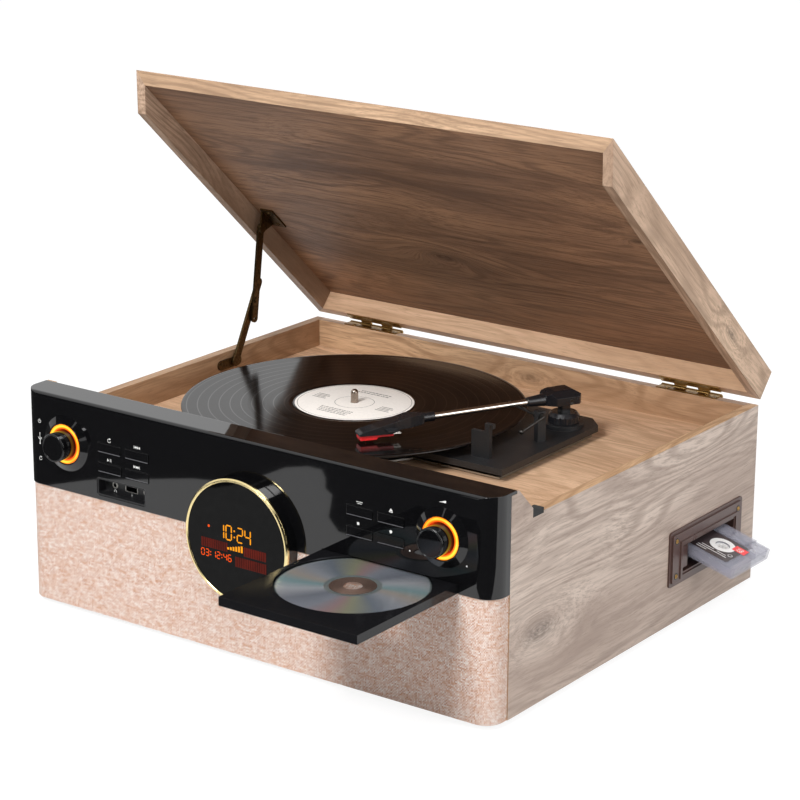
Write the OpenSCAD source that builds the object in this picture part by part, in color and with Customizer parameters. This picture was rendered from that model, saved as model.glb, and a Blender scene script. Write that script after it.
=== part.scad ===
// Stereo music centre: a wooden cabinet with a record player under a hinged lid, a drawer for
// compact discs, a slot for cassettes and a gloss front with a round display and two knobs.
// The origin lies under the middle of the cabinet on the surface that it stands on.
// X runs to the right, Y to the back and Z up. Heights marked "up" count from the cabinet's
// lower edge, and depths marked "back" count from the front edge of its side panels.

/* [Cabinet] */
// Width over the side panels
cab_w = 480; // [470:1:500]
// Depth from the side panels' front edge to the back panel's outer face
cab_d = 386; // [380:1:410]
// Height of the side and back panels
cab_h = 159; // [156:1:170]
// Thickness of the wooden boards
board_t = 9; // [7:0.5:10]
// Height of the deck's upper face, up
deck_up = 133.5; // [131:0.5:134]
// Thickness of the deck board
deck_t = 6; // [4:0.5:7]
// Height of the feet
foot_h = 5; // [4:0.5:12]
// Radius of the feet
foot_r = 9; // [7:0.5:12]
// Distance of a foot's centre from the cabinet's sides
foot_in = 30; // [25:1:45]

/* [Lid] */
// Angle at which the lid stands open
lid_open = 42.2; // [30:0.1:45]
// Length of the lid from front to back
lid_l = 373; // [368:1:374]
// Height of the lid's walls with its top board
lid_h = 27.5; // [26:0.5:34]
// Gap between the closed lid and the cabinet
lid_gap = 3; // [2.6:0.1:4]
// Slope of the cut at the front of the lid and the side panels
slant = 46.5; // [42:0.5:50]
// Length of one hinge
hinge_l = 60; // [40:1:70]
// Distance of a hinge's middle from the cabinet's middle
hinge_x = 172; // [150:1:180]
// Radius of a hinge's knuckles
knuckle_r = 2; // [1.8:0.1:2.3]
// Radius of a hinge pin
hinge_pin_r = 1; // [0.8:0.1:1.2]

/* [Lid stay] */
// Length of the lower arm between its pivots
stay_low_l = 60; // [59.8:0.1:62]
// Length of the upper arm between its pivots
stay_high_l = 67.5; // [67.3:0.1:70]
// Width of both arms
stay_w = 8; // [6:0.5:9]
// Thickness of both arms
stay_t = 2; // [1.5:0.1:2.2]
// Depth of the lower pivot, back
stay_low_back = 246; // [244:0.5:248]
// Height of the lower pivot, up
stay_low_up = 148; // [146:0.5:149]

/* [Front] */
// Distance of the gloss front ahead of the side panels
front_d = 22; // [18:1:26]
// Height of the gloss front's lower edge, up
fascia_low = 103.5; // [102:0.5:104]
// Height of the gloss front's upper edge, up
fascia_high = 185.5; // [184:0.5:188]
// Wall of the gloss front
fascia_t = 2.5; // [2:0.1:3]
// Radius of the front's upright corners
corner_r = 16; // [10:1:18]
// Depth of the gloss front's top behind the side panels' front edge
lip_d = 7; // [6:0.5:9]
// Thickness of the grille cloth
cloth_t = 1; // [0.8:0.1:1.4]
// Distance of the cloth behind the gloss front's face
cloth_in = 1; // [0.6:0.1:2]

/* [Display] */
// Radius of the display drum
drum_r = 52; // [46:0.5:52]
// Distance of the drum ahead of the gloss front
drum_out = 13; // [10:0.5:17]
// Width of the trim ring
ring_w = 3; // [2:0.1:4]

/* [Knobs and buttons] */
// Distance of a knob from the middle
knob_x = 192; // [188:1:196]
// Height of the knobs' centres, up
knob_up = 145.7; // [143:0.1:148]
// Radius of a knob
knob_r = 12.3; // [11:0.1:12.5]
// Distance of a knob's face ahead of the gloss front
knob_out = 17; // [14:0.5:20]
// Outer radius of a lit ring
glow_r = 17; // [16:0.1:18]
// Outer radius of the raised cone round a knob
cone_r = 24.2; // [22:0.1:25]
// Height of the raised cone
cone_out = 3; // [2:0.1:4]
// Width of a button
button_w = 25; // [20:0.5:26]
// Height of a button
button_h = 8; // [6:0.5:9]
// Distance of the outer buttons from the middle
button_x_out = 144; // [143:0.5:146]
// Distance of the inner buttons from the middle
button_x_in = 114; // [112:0.5:115]
// Height of the upper buttons, up
button_up_high = 149.7; // [148:0.1:152]
// Height of the lower buttons, up
button_up_low = 132.5; // [131:0.1:134]
// Travel of a button
button_travel = 1.2; // [0.8:0.1:1.5]

/* [Compact disc drawer] */
// Distance of the drawer's middle from the cabinet's middle
tray_x = 142.4; // [140:0.2:146]
// Width of the drawer
tray_w = 129.4; // [127:0.2:131]
// Height of the drawer's upper face, up
tray_up = 111.2; // [110.6:0.1:111.6]
// Height of the drawer
tray_h = 7.3; // [6.5:0.1:7.4]
// Distance of the open drawer's face ahead of the gloss front
tray_out = 128; // [120:1:130]
// Length of the drawer
tray_l = 158; // [150:1:164]
// Distance of the disc's centre behind the drawer's face
disc_back = 81.5; // [79:0.5:84]
// Radius of a compact disc
disc_r = 60; // [59:0.5:60]

/* [Record player] */
// Position of the spindle from the cabinet's middle
spindle_x = -50.7; // [-52:0.1:-49]
// Depth of the spindle, back
spindle_back = 192; // [190:1:194]
// Radius of the spindle
spindle_r = 3.55; // [3.5:0.01:3.6]
// Height of the record's upper face, up
record_up = 155.4; // [155:0.1:157]
// Radius of the record
record_r = 150.5; // [148:0.5:151]
// Thickness of the record
record_t = 1.6; // [1.2:0.1:2]
// Radius of the platter
platter_r = 97; // [90:1:100]
// Radius of the drive ring under the platter
drive_r = 60; // [54:1:62]
// Distance of the motor's shaft from the spindle
motor_dist = 82; // [80:1:86]
// Radius of the motor pulley
pulley_r = 5; // [4.6:0.1:5.6]
// Height of the tonearm plate's upper face, up
plate_up = 145.5; // [145:0.1:146]

/* [Tonearm] */
// Position of the arm's pivot from the cabinet's middle
arm_x = 114.3; // [113:0.1:116]
// Depth of the arm's pivot, back
arm_back = 271; // [269:0.5:273]
// Height of the arm tube's centre, up
tube_up = 171.5; // [171:0.1:173]
// Radius of the arm tube
tube_r = 2.6; // [2.2:0.1:3]
// Distance from the pivot to the front end of the tube
tube_l = 135.7; // [132:0.1:138]
// Angle of the tube from the front direction towards the record
tube_turn = 27; // [25:0.1:29]
// Angle between the head and the tube
head_turn = 9; // [0:0.5:16]
// Length of the head
head_l = 58; // [50:1:60]

/* [Cassette slot] */
// Depth of the slot's front edge, back
slot_back = 259.3; // [256:0.1:262]
// Width of the slot
slot_w = 86; // [84:0.5:88]
// Height of the slot's lower edge, up
slot_up = 44.4; // [42:0.1:46]
// Height of the slot
slot_h = 23; // [20:0.5:24]
// Width of the bezel's frame beside the slot
bezel_w = 18; // [14:0.5:20]
// Height of the bezel's frame above and below the slot
bezel_h = 12; // [9:0.5:14]
// Length of a cassette
tape_l = 100.4; // [100:0.1:101]
// Width of a cassette
tape_w = 63.8; // [63:0.1:64]
// Thickness of a cassette's body
tape_t = 8.7; // [8:0.1:9]
// Distance along its slope that the cassette stands out of the cabinet's side
tape_out = 46; // [30:1:56]
// Slope of the cassette's bay, falling to the outside
bay_tilt = 15.5; // [0:0.5:17]

/* [Hidden] */
$fn = 48;

// Clearances
run_gap = 0.05;    // radial clearance of a pin in its bore
slip = 0.3;        // gap between pieces that pass each other
cut = 1;           // how far a cutter reaches past a face

// Planes of the cabinet
hw = cab_w / 2;
y_front = -cab_d / 2;
y_back = cab_d / 2;
z_base = foot_h;
z_rim = z_base + cab_h;
z_deck = z_base + deck_up;
x_in = hw - board_t;
y_face = y_front - front_d;
z_fascia = z_base + fascia_low;
z_top = z_base + fascia_high;

// Wooden front ends
notch_back = 36;
notch_top = 9.5;
bumper_l = 15;
bumper_sink = 2;

// Lid, drawn closed and then turned open about its hinge
hinge_y = y_back + 3.1;
hinge_z = z_rim - 0.2;
lid_z = z_rim + lid_gap;
lid_z_top = lid_z + lid_h;
lid_y = y_back - lid_l;
leaf_t = 1;
leaf_d = 8;
leaf_knuckles = 5;
knuckle_l = hinge_l / leaf_knuckles;

// Lid stay in its plane beside the left wall
stay_rivet_r = 2;
stay_plate_t = 1.6;
x_stay_low = -x_in + stay_plate_t + 0.4;
x_stay_high = x_stay_low + stay_t + 0.4;
x_stay_hang = x_stay_high + stay_t + 0.4;
stay_low = [y_front + stay_low_back, z_base + stay_low_up];
stay_high_back = 235.8;
stay_high_up = 5.8;
stay_high_shut = [y_front + stay_high_back, lid_z + stay_high_up];
stay_stub = 17;

// Front
drum_y = y_face - drum_out;
drum_z = z_base + 103.4;
ring_t = 3;
drum_back = y_front - 1;
knob_z = z_base + knob_up;
board_y = y_front + 0.8;
board_plate = 1.6;
glow_in = 0.3;
socket_x = [-146.5, -128.2, -112.2];
socket_z = z_base + 115.6;
socket_box = [-158.7, -105.5];
socket_low = z_base + 107.4;
socket_high = z_base + 122.8;
socket_back = y_face + 9;
jack_r = 1.8;
jack_l = 14;
port_w = 12.6;
port_h = 5.2;
speaker_x = 140;
speaker_z = z_base + 50;
speaker_hole_r = 35;
baffle_top = z_fascia - slip;

// Button centres (x, z): outer and inner columns, upper and lower rows, left then right
buttons = [
    for (s = [-1, 1], x = [button_x_out, button_x_in], z = [button_up_high, button_up_low])
        [s * x, z_base + z]
];

// Drawer
z_tray = z_base + tray_up;
y_tray = y_face - tray_out;
tray_half = tray_w / 2;
disc_y = y_tray + disc_back;
disc_t = 1.2;
disc_sink = 1.6;
disc_z = z_tray - disc_sink - disc_t;
slot_gap = 0.6;
z_slot = z_tray + slot_gap;
lip_back = 12.6;

// Record player
sx = spindle_x;
sy = y_front + spindle_back;
z_record = z_base + record_up;
z_platter = z_record - record_t;
platter_h = 7;
z_plate = z_base + plate_up;
plate_t = 5.5;
well_r = 112;
well_sink = 4;
z_well = z_plate - well_sink;
z_chassis = z_deck + 0.8;
chassis_t = 1.6;
spindle_over = 12;
spindle_tip_r = spindle_r - 0.25;
deck_hole_r = 60;
motor_r = 17;
belt_z = z_platter - platter_h - 5;
belt_h = 4;
belt_t = 0.8;
motor_x = sx - motor_dist;
plate_hole_r = 68;
plate_right = 138;
plate_front = 140;
plate_back = 304;
plate_left = 46;
plate_chamfer = 15;
mount_neck_r = 3.6;
mount_r = 6;
mount_spots = [
    [sx - 88, sy - 44],
    [sx + 20, sy - 98],
    [sx + 20, sy + 98],
    [plate_right - 18, y_front + plate_front + 22]
];

// Tonearm
ax = arm_x;
ay = y_front + arm_back;
z_tube = z_base + tube_up;
tilt_z = z_tube - 1.5;
tilt_pin_r = 1.5;
turret_r = 13.6;
flange_r = 17;
z_flange = z_plate + 3.5;
z_turret = z_plate + 13;
cart_from = 28;
post_x = 106.6;
post_back = 157.6;
post_t = 4;
post_left = 9.6;
post_right = 8.4;
clip_t = 1.2;
clip_l = 8;
clip_drop = 4;
lift_reach = 41;
lift_turn = 24;
lift_r = 1.4;
lift_throw = 1.6;
lift_rest = 22.5;
lift_z = z_tube - tube_r - slip - lift_r + lift_throw * sin(lift_rest);
lift_side = 22;
lift_inner = 20;
lift_axle_r = 2;
lever_l = 24;
lever_dip = 24;

// Cassette
slot_y = y_front + slot_back;
slot_z = z_base + slot_up;
bezel_t = 4;
tape_y = slot_y + 11.3;
tape_x = tape_out - tape_l;
tape_travel = 46;
tape_thick = 12;
tape_lug = 19;
tape_gap = 0.6;
bay_z = slot_z + 15;
bay_l = 112;
eject_w = 10.2;

// A box between two opposite corners
module block(low, high) {
    translate(low)
        cube(high - low);
}

// A flat rectangle with round corners, centred
module rounded(w, h, r) {
    square([w, h - 2 * r], center = true);
    square([w - 2 * r, h], center = true);
    for (sx_ = [-1, 1], sy_ = [-1, 1])
        translate([sx_ * (w / 2 - r), sy_ * (h / 2 - r)])
            circle(r = r);
}

// A cylinder along Y from y0 to y1
module rod_y(x, z, y0, y1, r) {
    translate([x, y0, z])
        rotate([-90, 0, 0])
            cylinder(h = y1 - y0, r = r);
}

// A cylinder along X from x0 to x1
module rod_x(y, z, x0, x1, r) {
    translate([x0, y, z])
        rotate([0, 90, 0])
            cylinder(h = x1 - x0, r = r);
}

// A flat shape drawn in (y, z) and made thick along X
module slab_x(x0, x1) {
    translate([x0, 0, 0])
        rotate([90, 0, 90])
            linear_extrude(x1 - x0)
                children();
}

// A flat shape drawn in (x, z) and made thick along Y
module slab_y(y0, y1) {
    translate([0, y1, 0])
        rotate([90, 0, 0])
            linear_extrude(y1 - y0)
                children();
}

// Turns what is drawn in the closed lid to the lid's open place
module opened() {
    translate([0, hinge_y, hinge_z])
        rotate([-lid_open, 0, 0])
            translate([0, -hinge_y, -hinge_z])
                children();
}

// Where a point (y, z) of the closed lid comes when the lid is open
function lid_point(p) = [
    hinge_y + (p[0] - hinge_y) * cos(lid_open) + (p[1] - hinge_z) * sin(lid_open),
    hinge_z - (p[0] - hinge_y) * sin(lid_open) + (p[1] - hinge_z) * cos(lid_open)
];

// The elbow of two arms a and b between the pivots p and q, on the back side
function elbow(p, q, a, b) =
    let (d = norm(q - p))
    let (u = (q - p) / d)
    let (s = (a * a - b * b + d * d) / (2 * d))
    let (h = sqrt(max(a * a - s * s, 0)))
    p + s * u + h * [u[1], -u[0]];

stay_high = lid_point(stay_high_shut);
stay_elbow = elbow(stay_low, stay_high, stay_low_l, stay_high_l);

// Outline of the front in plan, drawn inset from its outer faces and ending at y_end
module front_plan(inset, y_end) {
    r = corner_r - inset;
    w = hw - inset;
    y0 = y_face + inset;
    intersection() {
        union() {
            translate([-w, y0 + r])
                square([2 * w, front_d + 2 * cut]);
            translate([-w + r, y0])
                square([2 * w - 2 * r, front_d + 2 * cut]);
            for (s = [-1, 1])
                translate([s * (w - r), y0 + r])
                    circle(r = r);
        }
        translate([-hw - cut, y_face - cut])
            square([2 * hw + 2 * cut, y_end - y_face + cut]);
    }
}

// Outline of a side panel with its raised front end
module side_outline() {
    polygon([
        [y_front, z_base],
        [y_back, z_base],
        [y_back, z_rim],
        [y_front + notch_back, z_rim],
        [y_front + notch_top, z_top - 0.3],
        [y_front + lip_d + slip, z_top - 0.3],
        [y_front + lip_d + slip, z_top - fascia_t - slip],
        [y_front, z_top - fascia_t - slip]
    ]);
}

module side_panel_left() {
    color("burlywood")
        difference() {
            slab_x(-hw, -x_in)
                side_outline();
            bumper_seat(-1);
        }
}

module side_panel_right() {
    color("burlywood")
        difference() {
            slab_x(x_in, hw)
                side_outline();
            bumper_seat(1);
            block([x_in - cut, slot_y - 6, slot_z - 5],
                  [hw + cut, slot_y + slot_w + 6, slot_z + slot_h + 5]);
        }
}

// Seat of a rubber bumper at the foot of the slanted cut
module bumper_outline() {
    y0 = y_front + notch_back - 6;
    polygon([
        [y0, z_rim - bumper_sink],
        [y0 + bumper_l, z_rim - bumper_sink],
        [y0 + bumper_l, z_rim + lid_gap - slip],
        [y0 + bumper_l / 2, z_rim + lid_gap - slip],
        [y0, z_rim + lid_gap + 3.5]
    ]);
}

module bumper_seat(side) {
    x0 = side > 0 ? x_in - cut : -hw - cut;
    slab_x(x0, x0 + board_t + 2 * cut)
        bumper_outline();
}

module lid_bumpers() {
    color("dimgray")
        for (x0 = [-hw, x_in])
            slab_x(x0, x0 + board_t)
                bumper_outline();
}

module back_panel() {
    color("burlywood")
        difference() {
            block([-x_in, y_back - board_t, z_base], [x_in, y_back, z_rim]);
            block([-95, y_back - board_t - cut, z_base + 30], [95, y_back + cut, z_base + 62]);
            for (i = [-4 : 4])
                translate([i * 14, y_back - board_t - cut, z_base + 92])
                    cube([6, board_t + 2 * cut, 26]);
        }
}

module bottom_panel() {
    color("tan")
        block([-x_in, y_front, z_base], [x_in, y_back - board_t, z_base + board_t]);
}

module deck_board() {
    color("burlywood")
        difference() {
            block([-x_in, y_front + lip_d + slip, z_deck - deck_t], [x_in, y_back - board_t, z_deck]);
            translate([sx, sy, z_deck - deck_t - cut])
                cylinder(h = deck_t + 2 * cut, r = deck_hole_r, $fn = 96);
            translate([motor_x, sy, z_deck - deck_t - cut])
                cylinder(h = deck_t + 2 * cut, r = motor_r + 3);
        }
}

module feet() {
    color("dimgray")
        for (x = [-hw + foot_in, hw - foot_in], y = [y_front + foot_in, y_back - foot_in])
            translate([x, y, 0]) {
                cylinder(h = foot_h, r1 = foot_r - 1, r2 = foot_r);
            }
}

module front_baffle() {
    inset = cloth_in + cloth_t;
    color("peru")
        difference() {
            translate([0, 0, z_base])
                linear_extrude(baffle_top - z_base)
                    front_plan(inset, y_front);
            for (s = [-1, 1])
                rod_y(s * speaker_x, speaker_z, y_face - cut, y_front + cut, speaker_hole_r);
            rod_y(0, drum_z, y_face - cut, y_front + cut, drum_r + slip);
        }
}

module fabric_grille() {
    color("bisque")
        difference() {
            translate([0, 0, z_base])
                linear_extrude(baffle_top - z_base)
                    difference() {
                        front_plan(cloth_in, y_front);
                        front_plan(cloth_in + cloth_t, y_front + cut);
                    }
            rod_y(0, drum_z, y_face - cut, y_front + cut, drum_r + slip);
        }
}

// Front and end profiles of the gloss moulding, with its softened upper edges
module fascia_body() {
    r = 3;
    intersection() {
        translate([0, 0, z_fascia])
            linear_extrude(z_top - z_fascia)
                front_plan(0, y_front);
        slab_x(-hw - cut, hw + cut)
            union() {
                translate([y_face, z_fascia - cut])
                    square([front_d, z_top - z_fascia - r + cut]);
                translate([y_face + r, z_fascia])
                    square([front_d - r, z_top - z_fascia]);
                translate([y_face + r, z_top - r])
                    circle(r = r);
            }
    }
}

module fascia_moulding() {
    color("black")
        difference() {
            union() {
                fascia_body();
                block([-hw, y_front - 0.01, z_top - fascia_t], [hw, y_front + lip_d, z_top]);
                block([-x_in + slip, y_front + lip_d - fascia_t, z_deck],
                      [x_in - slip, y_front + lip_d, z_top - fascia_t + 0.01]);
                for (s = [-1, 1])
                    translate([s * knob_x, y_face + 0.01, knob_z])
                        rotate([90, 0, 0])
                            cylinder(h = cone_out, r1 = cone_r, r2 = glow_r + 1.2);
            }
            translate([0, 0, z_fascia - cut])
                linear_extrude(z_top - fascia_t - z_fascia + cut)
                    front_plan(fascia_t, y_front + 0.01);
            rod_y(0, drum_z, y_face - cut, y_front - cut, drum_r + slip);
            block([tray_x - tray_half - slot_gap, y_face - cut, z_fascia - cut],
                  [tray_x + tray_half + slot_gap, y_face + fascia_t + cut, z_slot]);
            for (s = [-1, 1])
                rod_y(s * knob_x, knob_z, y_face - cone_out - cut, y_face + fascia_t + cut, glow_r + slip);
            for (b = buttons)
                slab_y(y_face - cut, y_face + fascia_t + cut)
                    translate(b)
                        rounded(button_w + 2 * slip, button_h + 2 * slip, 1);
            slab_y(y_face - cut, y_face + fascia_t + cut)
                translate([(socket_box[0] + socket_box[1]) / 2, (socket_low + socket_high) / 2])
                    rounded(socket_box[1] - socket_box[0] + 0.1, socket_high - socket_low + 0.1, 2.5);
        }
}

// The moulding's part above the drawer's slot
module fascia() {
    intersection() {
        fascia_moulding();
        block([-hw - cut, y_face - cone_out - cut, z_slot], [hw + cut, y_front + lip_d + cut, z_top + cut]);
    }
}

// The moulding's lower edge, which the drum and the drawer's slot divide in three
module fascia_sill() {
    intersection() {
        fascia_moulding();
        block([-hw - cut, y_face - cone_out - cut, z_fascia - cut], [hw + cut, y_front + lip_d + cut, z_slot]);
    }
}

module button(i) {
    b = buttons[i];
    color([0.08, 0.08, 0.09]) {
        slab_y(y_face - 0.6, y_face + fascia_t + slip)
            translate(b)
                rounded(button_w, button_h, 0.9);
        slab_y(y_face + fascia_t + slip, y_face + fascia_t + slip + 1)
            translate(b)
                square([button_w + 2, button_h + 2], center = true);
        rod_y(b[0], b[1], y_face + fascia_t + slip + 0.9, board_y - 5 - button_travel, 2);
    }
}

module display_drum() {
    color([0.06, 0.06, 0.07])
        difference() {
            rod_y(0, drum_z, drum_y + ring_t, drum_back, drum_r);
            rod_y(0, drum_z, drum_y + ring_t - cut, drum_back - 3, drum_r - 4);
            block([-20, drum_back - 4, drum_z - 8], [20, drum_back + cut, drum_z + 8]);
        }
}

module display_ring() {
    color("khaki")
        translate([0, drum_y, drum_z])
            rotate([-90, 0, 0])
                rotate_extrude($fn = 96)
                    polygon([
                        [drum_r + 0.6 - ring_w, 0.6],
                        [drum_r + 0.6 - ring_w + 0.6, 0],
                        [drum_r - 0.6, 0],
                        [drum_r + 0.6, 1.2],
                        [drum_r + 0.6, ring_t],
                        [drum_r + 0.6 - ring_w, ring_t]
                    ]);
}

module display_lens() {
    color([0.1, 0.08, 0.06])
        rod_y(0, drum_z, drum_y + 1, drum_y + ring_t, drum_r + 0.6 - ring_w - 0.1);
}

module light_rings() {
    color("orange")
        for (s = [-1, 1])
            difference() {
                rod_y(s * knob_x, knob_z, y_face - cone_out + glow_in, y_face + 4, glow_r);
                rod_y(s * knob_x, knob_z, y_face - cone_out - cut, y_face + 2.6, knob_r + 0.9);
                rod_y(s * knob_x, knob_z, y_face, y_face + 4 + cut, 4.5);
            }
}

module knob(s) {
    bush = 3;
    color([0.07, 0.07, 0.08])
        translate([s * knob_x, 0, knob_z])
            rotate([-90, 0, 0]) {
                translate([0, 0, y_face - knob_out])
                    rotate_extrude($fn = 64)
                        polygon([
                            [0, 0.5],
                            [knob_r - 1.6, 0.5],
                            [knob_r - 1.2, 0],
                            [knob_r - 0.6, 0],
                            [knob_r, 0.8],
                            [knob_r, knob_out + 1],
                            [0, knob_out + 1]
                        ]);
                translate([0, 0, y_face + 0.5])
                    cylinder(h = board_y - 2 - y_face - 0.5, r = bush);
            }
}

module socket_panel() {
    w = socket_box[1] - socket_box[0];
    h = socket_high - socket_low;
    mid = [(socket_box[0] + socket_box[1]) / 2, (socket_low + socket_high) / 2];
    wall = 1.4;
    color([0.1, 0.1, 0.11])
        difference() {
            union() {
                slab_y(y_face + 0.4, socket_back + wall)
                    translate(mid)
                        rounded(w, h, 2.5);
                for (x = [socket_x[0], socket_x[2]])
                    block([x - 4, socket_back, socket_z - 4], [x + 4, socket_back + jack_l - 1, socket_z + 4]);
                block([socket_x[1] - 8, socket_back, socket_z - 5], [socket_x[1] + 8, y_front, socket_z + 5]);
            }
            slab_y(y_face - cut, socket_back)
                translate(mid)
                    rounded(w - 2 * wall, h - 2 * wall, 1.6);
            for (x = [socket_x[0], socket_x[2]])
                rod_y(x, socket_z, socket_back - cut, socket_back + jack_l - 2, jack_r);
            block([socket_x[1] - port_w / 2, socket_back - cut, socket_z - port_h / 2],
                  [socket_x[1] + port_w / 2, y_front - 1, socket_z + port_h / 2]);
        }
}

// The board behind the front: encoders with their bushes, switches, and the display's module
module control_board() {
    low = z_tray + 2;
    end_gap = 18;
    encoder = 7;
    encoder_bush_r = 4.2;
    switch = 3;
    switch_h = 4.6;
    post_r = 2.5;
    module_half = 35;
    module_low = 18;
    module_high = 12;
    stem_half = 18;
    color("darkgreen")
        difference() {
            union() {
                block([-hw + end_gap, board_y, low], [hw - end_gap, board_y + board_plate, z_top - fascia_t - 3]);
                for (s = [-1, 1]) {
                    block([s * knob_x - encoder, board_y - encoder, knob_z - encoder],
                          [s * knob_x + encoder, board_y + 0.01, knob_z + encoder]);
                    rod_y(s * knob_x, knob_z, y_face + 6, board_y - 6, encoder_bush_r);
                }
                for (b = buttons)
                    block([b[0] - switch, board_y - switch_h, b[1] - switch],
                          [b[0] + switch, board_y + 0.01, b[1] + switch]);
                for (x = [-200, -70, 70, 200])
                    rod_y(x, z_deck + 40, board_y, y_front + lip_d - fascia_t, post_r);
                block([-30, board_y, drum_z - module_high], [30, board_y + board_plate, low + 0.01]);
                block([-stem_half, drum_back - 8, drum_z - 6], [stem_half, board_y + 0.01, drum_z + 6]);
                block([-module_half, drum_y + 6, drum_z - module_low],
                      [module_half, drum_back - 7, drum_z + module_high]);
            }
            for (s = [-1, 1])
                rod_y(s * knob_x, knob_z, y_face, board_y - 1, 3 + run_gap);
        }
}

// The main board on four posts, with its transformer, heat sink and capacitors
module main_board() {
    low = [-190, -20];
    high = [-60, 120];
    post_h = 5;
    post_in = 6;
    post_r = 3;
    transformer_low = [-180, 40];
    transformer_high = [-135, 84];
    transformer_h = 42;
    sink_low = [-120, 70];
    sink_high = [-80, 76];
    sink_h = 36;
    capacitor = [-118, 30];
    capacitor_step = 18;
    capacitor_r = 7;
    capacitor_h = 24;
    z0 = z_base + board_t;
    z1 = z0 + post_h + board_plate;
    color("seagreen") {
        block([low[0], low[1], z0 + post_h], [high[0], high[1], z1]);
        for (x = [low[0] + post_in, high[0] - post_in], y = [low[1] + post_in, high[1] - post_in])
            translate([x, y, z0])
                cylinder(h = post_h + 0.01, r = post_r);
        block([transformer_low[0], transformer_low[1], z1 - 0.01],
              [transformer_high[0], transformer_high[1], z0 + transformer_h]);
        block([sink_low[0], sink_low[1], z1 - 0.01], [sink_high[0], sink_high[1], z0 + sink_h]);
        for (i = [0 : 2])
            translate([capacitor[0] + i * capacitor_step, capacitor[1], z1 - 0.01])
                cylinder(h = capacitor_h, r = capacitor_r);
    }
}

module circuit_boards() {
    control_board();
    main_board();
}

// A loudspeaker seen from its front: frame, cone, basket and magnet
module speaker() {
    rotate([-90, 0, 0])
        rotate_extrude()
            polygon([
                [0, 12],
                [12, 12],
                [32, 1],
                [35, 0],
                [40, 0],
                [40, 2.5],
                [36, 4],
                [27, 22],
                [27, 36],
                [0, 36]
            ]);
}

module speakers() {
    color("dimgray")
        for (s = [-1, 1])
            translate([s * speaker_x, y_front, speaker_z])
                speaker();
}

// The plate on the back: mains inlet with two pins, two phono sockets and an aerial socket
module rear_sockets() {
    y0 = y_back - board_t;
    z0 = z_base + 46;
    plate = [102, 22];
    plate_out = 2;
    box = [94, 15];
    box_d = 14;
    inlet_x = -60;
    inlet_d = 12;
    inlet_pins = 4;
    phono_x = [30, 50];
    phono_out = 9;
    aerial_x = 72;
    color([0.15, 0.15, 0.16])
        difference() {
            union() {
                block([-plate[0], y_back, z0 - plate[1]], [plate[0], y_back + plate_out, z0 + plate[1]]);
                block([-box[0], y0 - box_d, z0 - box[1]], [box[0], y_back + 0.01, z0 + box[1]]);
                for (x = phono_x)
                    rod_y(x, z0, y_back, y_back + phono_out, 4.2);
            }
            slab_y(y_back - inlet_d, y_back + plate_out + cut)
                translate([inlet_x, z0])
                    rounded(21, 11, 5.4);
            for (x = phono_x)
                rod_y(x, z0, y_back - 5, y_back + phono_out + cut, 1.6);
            rod_y(aerial_x, z0, y_back - 10, y_back + plate_out + cut, jack_r);
        }
    color("silver")
        for (s = [-1, 1])
            rod_y(inlet_x + s * inlet_pins, z0, y_back - inlet_d - 0.01, y_back - 2, 1.2);
}

// One hinge's knuckle barrel pieces: which = 0 for the lower leaf, 1 for the upper
module knuckles(which, r) {
    for (i = [which : 2 : leaf_knuckles - 1])
        rod_x(hinge_y, hinge_z, i * knuckle_l + slip / 2, (i + 1) * knuckle_l - slip / 2, r);
}

module leaf_teeth(which, z0, z1) {
    for (i = [which : 2 : leaf_knuckles - 1])
        block([i * knuckle_l + slip / 2, y_back - 1, z0], [(i + 1) * knuckle_l - slip / 2, hinge_y, z1]);
}

module hinge_lower() {
    difference() {
        union() {
            block([0, y_back - leaf_d, z_rim], [hinge_l, y_back - slip, z_rim + leaf_t]);
            leaf_teeth(0, z_rim, z_rim + leaf_t);
            knuckles(0, knuckle_r);
        }
        rod_x(hinge_y, hinge_z, -cut, hinge_l + cut, hinge_pin_r - 0.01);
    }
    rod_x(hinge_y, hinge_z, -1, hinge_l + 1, hinge_pin_r);
}

module hinge_upper() {
    z0 = lid_z - leaf_t;
    difference() {
        union() {
            block([0, y_back - leaf_d, z0], [hinge_l, y_back - slip, lid_z]);
            leaf_teeth(1, z0, lid_z);
            for (i = [1 : 2 : leaf_knuckles - 1])
                block([i * knuckle_l + slip / 2, hinge_y - 1.4, hinge_z],
                      [(i + 1) * knuckle_l - slip / 2, hinge_y, lid_z]);
            knuckles(1, knuckle_r);
        }
        rod_x(hinge_y, hinge_z, -cut, hinge_l + cut, hinge_pin_r + run_gap);
    }
}

module hinge_leaves_lower() {
    color("goldenrod")
        for (s = [-1, 1])
            translate([s * hinge_x - hinge_l / 2, 0, 0])
                hinge_lower();
}

module hinge_leaves_upper() {
    color("goldenrod")
        opened()
            for (s = [-1, 1])
                translate([s * hinge_x - hinge_l / 2, 0, 0])
                    hinge_upper();
}

// The lid is folded from one board, with mitred edges between its top and its walls
module lid_profile_yz() {
    run = lid_h / tan(slant);
    polygon([
        [lid_y + run, lid_z],
        [y_back, lid_z],
        [y_back, lid_z_top],
        [lid_y, lid_z_top]
    ]);
}

module lid_top() {
    color("tan")
        opened()
            intersection() {
                slab_x(-hw, hw)
                    lid_profile_yz();
                slab_y(lid_y - cut, y_back + cut)
                    polygon([
                        [-hw, lid_z_top],
                        [hw, lid_z_top],
                        [x_in, lid_z_top - board_t],
                        [-x_in, lid_z_top - board_t]
                    ]);
                slab_x(-hw, hw)
                    polygon([
                        [lid_y - cut, lid_z_top],
                        [y_back, lid_z_top],
                        [y_back - board_t, lid_z_top - board_t],
                        [lid_y - cut, lid_z_top - board_t]
                    ]);
            }
}

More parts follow.
